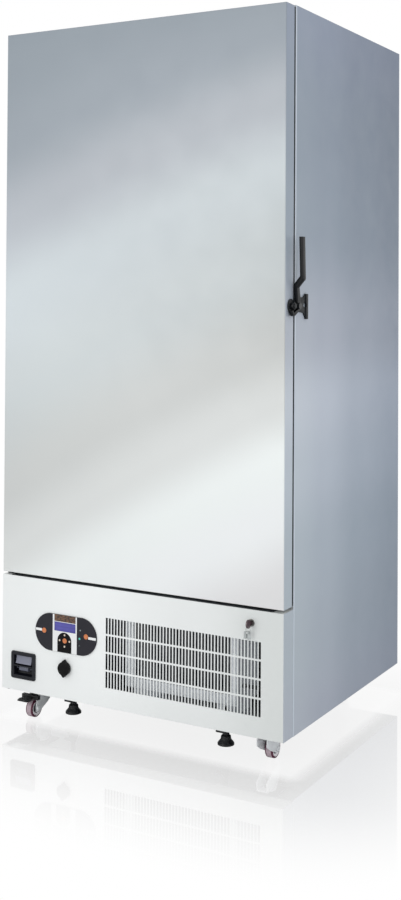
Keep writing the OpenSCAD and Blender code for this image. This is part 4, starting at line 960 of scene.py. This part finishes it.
class FREEZER_OT_controls(bpy.types.Operator):
    """Printed film, lenses, keys and knob of the control fascia"""

    bl_idname = "freezer.controls"
    bl_label = "Controls"

    def film(self, name, outline, colour, height, lift=0.0):
        bm = bmesh.new()
        y = at(0, FILM_FACE, 0).y - lift
        outline_plate(bm, panel_points(outline), y - height, y + 0.0001)
        piece(name, from_bmesh(name, bm), "panel", "fascia_grey", colour)

    def printed_film(self, height):
        """White columns round the window, and a black arch with marks round the middle key."""
        # In millimetres from the panel's left edge and the cabinet's bottom line
        fascia_z, fascia_half, rim = 180.0, 51.0, 0.4
        base, top = fascia_z - fascia_half + rim, fascia_z + fascia_half - rim
        x0, x1 = 176.5, 257.0
        window_x0, window_x1, window_z0, window_z1 = 182.0, 253.0, 186.0, 211.0
        title_z = 212.4
        arch_x, arch_z, arch_r = 216.0, 160.5, 23.5
        arch_height, mark_radius = height * 0.6, 2.7
        left_arc = disc_points(arch_x, arch_z, arch_r, 90, 180)
        right_arc = disc_points(arch_x, arch_z, arch_r, 0, 90)
        left_foot, right_foot = (arch_x - arch_r, base), (arch_x + arch_r, base)
        left_column = [(x0, base), (x0, window_z0), (arch_x, window_z0)] + left_arc + [left_foot]
        right_column = [right_foot] + right_arc + [(arch_x, window_z0), (x1, window_z0), (x1, base)]
        for name, outline, colour in (
            ("film_column_left", left_column, "film_white"),
            ("film_column_right", right_column, "film_white"),
            ("film_margin_left", strip(x0, window_x0, window_z0, top), "film_white"),
            ("film_margin_right", strip(window_x1, x1, window_z0, top), "film_white"),
            ("film_rule", strip(window_x0, window_x1, window_z1, title_z), "film_white"),
            ("film_title_strip", strip(window_x0, window_x1, title_z, top), "film_title"),
            ("film_stripe_left", strip(119.2, 139.8, 179.2, 186.0), "film_white"),
            ("film_stripe_right", strip(295.0, 319.6, 176.2, 183.0), "film_white"),
        ):
            self.film(name, outline, colour, height)
        low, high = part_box("enter_button")
        key_x = ((low.x + high.x) / 2 + FRAME_ORIGIN[0] - CABINET_LEFT) * 1000
        key_z = ((low.z + high.z) / 2 - CABINET_BASE) * 1000
        hole = (high.x - low.x) * 500 - 1.2
        left_hole = disc_points(key_x, key_z, hole, 270, 90)
        right_hole = disc_points(key_x, key_z, hole, 90, -90)
        left_arch = [left_foot, (key_x, base)] + left_hole + left_arc
        right_arch = [(key_x, base), right_foot] + right_arc + right_hole
        self.film("film_arch_left", left_arch, "film_black", arch_height)
        self.film("film_arch_right", right_arch, "film_black", arch_height)
        marks = ((200.0, 161.5), (233.0, 161.5), (216.5, 176.8), (216.5, 145.8))
        for i, (x, z) in enumerate(marks):
            mark = disc_points(x, z, mark_radius)
            self.film("film_mark_%d" % (i + 1), mark, "key_mark", height, arch_height)

    def lens(self, name, x, z, radius, colour):
        """Low dome over a lamp."""
        dome = ((0.0, 1.0), (0.0006, 0.95), (0.0011, 0.6), (0.0013, 0.1))
        profile = [(rise, radius * share / 1000) for rise, share in dome]
        bm = bmesh.new()
        close_ends(bm, lathe(bm, profile, on_panel(x, z), (0, -1, 0), 24))
        piece(name, from_bmesh(name, bm), "panel", "fascia_grey", colour, sharp=60)

    def round_key(self, node, body):
        """Dished key with a flange behind the film."""
        low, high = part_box(node)
        middle = (low + high) / 2
        flange = (high.x - low.x) / 2
        radius = flange - 0.0016
        depth = high.y - low.y
        profile = [
            (0.0, 0.0008),
            (0.0, flange),
            (0.0014, flange),
            (0.0014, radius),
            (depth - 0.0008, radius),
            (depth - 0.0002, radius - 0.0006),
            (depth, radius - 0.0016),
            (depth - 0.0006, radius * 0.55),
            (depth - 0.0008, 0.0004),
        ]
        name = node + "_cap"
        bm = bmesh.new()
        close_ends(bm, lathe(bm, profile, Vector((middle.x, high.y, middle.z)), (0, -1, 0), 40))
        made = piece(name, from_bmesh(name, bm), body, "key_orange")
        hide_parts(node)

    def execute(self, context):
        self.printed_film(context.scene.freezer_shape.film_height)
        self.lens("lens_run", 266.0, 174.0, 3.0, "lens_teal")
        self.lens("lens_power", 268.5, 197.0, 2.2, "lens_pale")
        self.lens("lens_alarm", 266.0, 155.0, 2.6, "lens_dark")
        for side in ("enter", "left", "right"):
            self.round_key(side + "_button", "key_" + side)
        rounded("selector_knob", 0.0016, segments=3)
        return {"FINISHED"}


class FREEZER_OT_switches(bpy.types.Operator):
    """Switch housing with its rocker and breaker lever"""

    bl_idname = "freezer.switches"
    bl_label = "Switches"

    def execute(self, context):
        rounded("switch_bezel", 0.0012)
        rounded("power_rocker", 0.0009)
        rounded("breaker_lever", 0.0009)
        return {"FINISHED"}


class FREEZER_OT_lock(bpy.types.Operator):
    """Panel lock and its key with the moulded head"""

    bl_idname = "freezer.lock"
    bl_label = "Lock and keys"

    def key_head(self):
        """Moulded head over the key's bow, open round the ring's hole."""
        low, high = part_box("lock_barrel")
        centre = (low + high) / 2
        centre.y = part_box("lock_key")[0].y + 0.011
        hole = centre + Vector((0, 0, -0.006))
        head_radius, hole_radius, half, edge = 0.0108, 0.0034, 0.0021, 0.0008
        profile = ((-half, edge), (-half, 0.0), (half, 0.0), (half, edge))
        bm = bmesh.new()

        def circle(middle, x, radius):
            return [
                bm.verts.new(middle + Vector((x, math.cos(a) * radius, math.sin(a) * radius)))
                for a in turns(48)
            ]

        outer, inner = [], []
        for x, inset in profile:
            outer.append(circle(centre, x, head_radius - inset))
            inner.append(circle(hole, x, hole_radius + inset * 0.5))
        ring_faces(bm, outer)
        ring_faces(bm, inner)
        for k in (0, -1):
            ring_faces(bm, [outer[k], inner[k]])
        piece("key_head", from_bmesh("key_head", bm), "key", "key_steel", "key_head")

    def execute(self, context):
        rounded("lock_barrel", 0.0005)
        rounded("lock_key", 0.0004, angle=40)
        self.key_head()
        return {"FINISHED"}


class FREEZER_OT_castors(bpy.types.Operator):
    """Tyres, hubs, forks, plates and brake pedals of the castors"""

    bl_idname = "freezer.castors"
    bl_label = "Castors"

    def wheel(self, node, body, shoulder):
        low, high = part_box(node)
        centre = (low + high) / 2
        radius = (high.z - low.z) / 2
        hub_half = (high.x - low.x) / 2
        half = hub_half - 0.0015
        tyre_inner, ring_inner, hub_radius, bore = radius - 0.0046, 0.0135, 0.0086, 0.0041
        stripe, bush_end = half - shoulder - 0.0012, half - 0.006
        finishes = ("tyre_tread", "tyre_maroon", "tyre_ring", "hub_dark", "zinc_castor")
        bm = bmesh.new()

        def turned(finish, *profile):
            lathe(bm, profile, centre, (1, 0, 0), 56, finishes.index(finish))

        # The middle of the tread carries the painted highlight
        turned("tyre_tread", (-stripe, radius), (0.0, radius), (stripe, radius))
        for side in (-1, 1):
            edge = [(side * stripe, radius)]
            for i in range(7):
                a = math.radians(90 * i / 6)
                out = half - shoulder * (1 - math.sin(a))
                edge.append((side * out, radius - shoulder * (1 - math.cos(a))))
            turned("tyre_maroon", *edge, (side * half, tyre_inner))
            turned(
                "tyre_ring",
                (side * half, tyre_inner),
                (side * (half - 0.0010), radius - 0.0052),
                (side * (half - 0.0026), radius - 0.0066),
                (side * (half - 0.0028), ring_inner),
            )
            turned(
                "hub_dark",
                (side * (half - 0.0028), ring_inner),
                (side * (half - 0.0014), 0.0130),
                (side * (half - 0.0012), 0.0090),
                (side * hub_half, hub_radius),
            )
            turned(
                "zinc_castor",
                (side * hub_half, hub_radius),
                (side * hub_half, bore),
                (side * bush_end, bore),
            )
        turned("zinc_castor", (-bush_end, bore), (bush_end, bore))
        bmesh.ops.remove_doubles(bm, verts=bm.verts[:], dist=1e-6)
        name = node + "_turned"
        made = piece(name, from_bmesh(name, bm), body, "tyre_maroon", *finishes)
        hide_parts(node)

    def execute(self, context):
        shape = context.scene.freezer_shape
        for end in ("front", "rear"):
            for side in ("left", "right"):
                node, body = "%s_wheel_%s" % (end, side), "wheel_%s_%s" % (end, side)
                self.wheel(node, body, shape.tyre_shoulder)
        for node in ("caster_fork_left", "caster_fork_right", "rear_caster_forks", "caster_plates"):
            rounded(node, shape.sheet_edge)
        for node in ("brake_pedal_left", "brake_pedal_right"):
            rounded(node, 0.0012)
        return {"FINISHED"}


class FREEZER_OT_feet(bpy.types.Operator):
    """Levelling feet with their stems and lock nuts"""

    bl_idname = "freezer.feet"
    bl_label = "Levelling feet"

    def execute(self, context):
        for node in ("leveling_foot_left", "leveling_foot_right"):
            rounded(node, 0.0010)
        return {"FINISHED"}


class FREEZER_OT_stage(bpy.types.Operator):
    """Pale floor, soft lamps, surround and camera"""

    bl_idname = "freezer.stage"
    bl_label = "Studio"

    def surround(self, stage):
        world = bpy.data.worlds.new("soft_surround")
        bpy.context.scene.world = world
        world.use_nodes = True
        tree = world.node_tree
        tree.nodes.clear()
        rays = add_node(tree, "ShaderNodeLightPath").outputs
        seen = rays["Is Camera Ray"]
        for ray in (rays["Is Glossy Ray"], rays["Is Transmission Ray"]):
            seen = add_node(tree, "ShaderNodeMath", seen, ray, operation="MAXIMUM").outputs[0]
        soft = add_node(tree, "ShaderNodeBackground", (0.96, 0.98, 1.0, 1), stage.surround)
        white = add_node(tree, "ShaderNodeBackground", (1, 1, 1, 1), 1.0)
        mix = add_node(tree, "ShaderNodeMixShader", seen, soft.outputs[0], white.outputs[0])
        add_node(tree, "ShaderNodeOutputWorld", mix.outputs[0])

    def floor(self, stage):
        """White floor with a soft shadow and a mirror image that fade with the distance."""
        bm = bmesh.new()
        bmesh.ops.create_grid(bm, x_segments=24, y_segments=24, size=14.0)
        mesh = from_bmesh("studio_floor", bm)
        floor = bpy.data.objects.new("studio_floor", mesh)
        bpy.context.scene.collection.objects.link(floor)
        material = bpy.data.materials.new("studio_floor")
        material.use_nodes = True
        mesh.materials.append(material)
        tree = material.node_tree
        tree.nodes.clear()
        half_size = (0.44, 0.37, 0.0)
        mirror_reach, contact_reach, shadow_reach = 0.62, 0.05, 0.35
        away = add_node(tree, "ShaderNodeTexCoord").outputs["Object"]
        for kind, *second in (("ABSOLUTE",), ("SUBTRACT", half_size), ("MAXIMUM",)):
            away = add_node(tree, "ShaderNodeVectorMath", away, *second, operation=kind).outputs[0]
        away = add_node(tree, "ShaderNodeVectorMath", away, operation="LENGTH").outputs["Value"]

        def by_distance(reach, near, far, **values):
            node = add_node(tree, "ShaderNodeMapRange", away, 0.0, reach, near, far, **values)
            return node.outputs[0]

        def product(first, second):
            return add_node(tree, "ShaderNodeMath", first, second, operation="MULTIPLY").outputs[0]

        fade = by_distance(mirror_reach, stage.mirror, 0.0, interpolation_type="SMOOTHSTEP")
        share = product(fade, by_distance(contact_reach, 0.3, 1.0))
        direct = add_node(tree, "ShaderNodeLightPath").outputs["Is Camera Ray"]
        seen = product(by_distance(shadow_reach, 0.93, 1.0), direct)
        matt = add_node(tree, "ShaderNodeBsdfDiffuse", (0.93, 0.93, 0.93, 1))
        white = add_node(tree, "ShaderNodeEmission")
        white.inputs["Strength"].default_value = 1.0
        pale = add_node(tree, "ShaderNodeMixShader", seen, matt.outputs[0], white.outputs[0])
        gloss = add_node(tree, "ShaderNodeBsdfGlossy")
        gloss.inputs["Roughness"].default_value = 0.035
        top = add_node(tree, "ShaderNodeMixShader", share, pale.outputs[0], gloss.outputs[0])
        add_node(tree, "ShaderNodeOutputMaterial", top.outputs[0])

    def lamp(self, name, place, aim, size, power, colour):
        data = bpy.data.lights.new(name, "AREA")
        data.shape = "RECTANGLE"
        data.size, data.size_y = size
        data.energy = power
        data.color = colour
        lamp = bpy.data.objects.new(name, data)
        bpy.context.scene.collection.objects.link(lamp)
        lamp.location = place
        lamp.rotation_euler = (Vector(aim) - Vector(place)).to_track_quat("-Z", "Y").to_euler()

    def camera(self):
        data = bpy.data.cameras.new("studio_camera")
        data.lens = 50.149
        data.sensor_width = 36.0
        data.sensor_fit = "AUTO"
        data.shift_y = -0.1963
        camera = bpy.data.objects.new("studio_camera", data)
        bpy.context.scene.collection.objects.link(camera)
        right = Vector((0.86987, 0.49324, 0.00585))
        up = Vector((0.00325, -0.01759, 0.99984))
        ahead = Vector((-0.49327, 0.86971, 0.01691))
        turn = Matrix((right, up, -ahead)).transposed().to_4x4()
        camera.matrix_world = Matrix.Translation((1.78468, -3.20758, 1.19264)) @ turn
        bpy.context.scene.camera = camera

    def execute(self, context):
        stage = context.scene.freezer_stage
        self.surround(stage)
        self.floor(stage)
        front, front_aim, warm = (-1.0, -3.6, 1.5), (0.0, -0.4, 0.8), (1.0, 0.99, 0.97)
        side, side_aim, cool = (3.4, -0.6, 1.9), (0.3, 0.0, 1.0), (0.95, 0.98, 1.0)
        self.lamp("front_lamp", front, front_aim, (2.6, 2.2), stage.key_power, warm)
        self.lamp("side_lamp", side, side_aim, (1.6, 2.4), stage.fill_power, cool)
        self.camera()
        context.scene.view_settings.view_transform = "Standard"
        return {"FINISHED"}


class FREEZER_PT_panel(bpy.types.Panel):
    bl_idname = "FREEZER_PT_panel"
    bl_label = "Upright Freezer"
    bl_space_type = "VIEW_3D"
    bl_region_type = "UI"
    bl_category = "Freezer"

    def draw(self, context):
        scene = context.scene
        for group in (scene.freezer_finish, scene.freezer_shape, scene.freezer_stage):
            box = self.layout.box()
            for name in group.__annotations__:
                box.prop(group, name)
        for operator in OPERATORS:
            self.layout.operator(operator.bl_idname)


GROUPS = (FreezerFinish, FreezerShape, FreezerStage)
OPERATORS = (
    FREEZER_OT_finishes,
    FREEZER_OT_latch,
    FREEZER_OT_seam_shade,
    FREEZER_OT_controls,
    FREEZER_OT_switches,
    FREEZER_OT_lock,
    FREEZER_OT_castors,
    FREEZER_OT_feet,
    FREEZER_OT_stage,
)


def register():
    for cls in (*GROUPS, *OPERATORS, FREEZER_PT_panel):
        bpy.utils.register_class(cls)
    bpy.types.Scene.freezer_finish = bpy.props.PointerProperty(type=FreezerFinish)
    bpy.types.Scene.freezer_shape = bpy.props.PointerProperty(type=FreezerShape)
    bpy.types.Scene.freezer_stage = bpy.props.PointerProperty(type=FreezerStage)


def unregister():
    del bpy.types.Scene.freezer_finish
    del bpy.types.Scene.freezer_shape
    del bpy.types.Scene.freezer_stage
    for cls in (FREEZER_PT_panel, *reversed(OPERATORS), *reversed(GROUPS)):
        bpy.utils.unregister_class(cls)


def main():
    register()
    for operator in OPERATORS:
        group, name = operator.bl_idname.split(".")
        getattr(getattr(bpy.ops, group), name)()


if __name__ == "__main__":
    main()
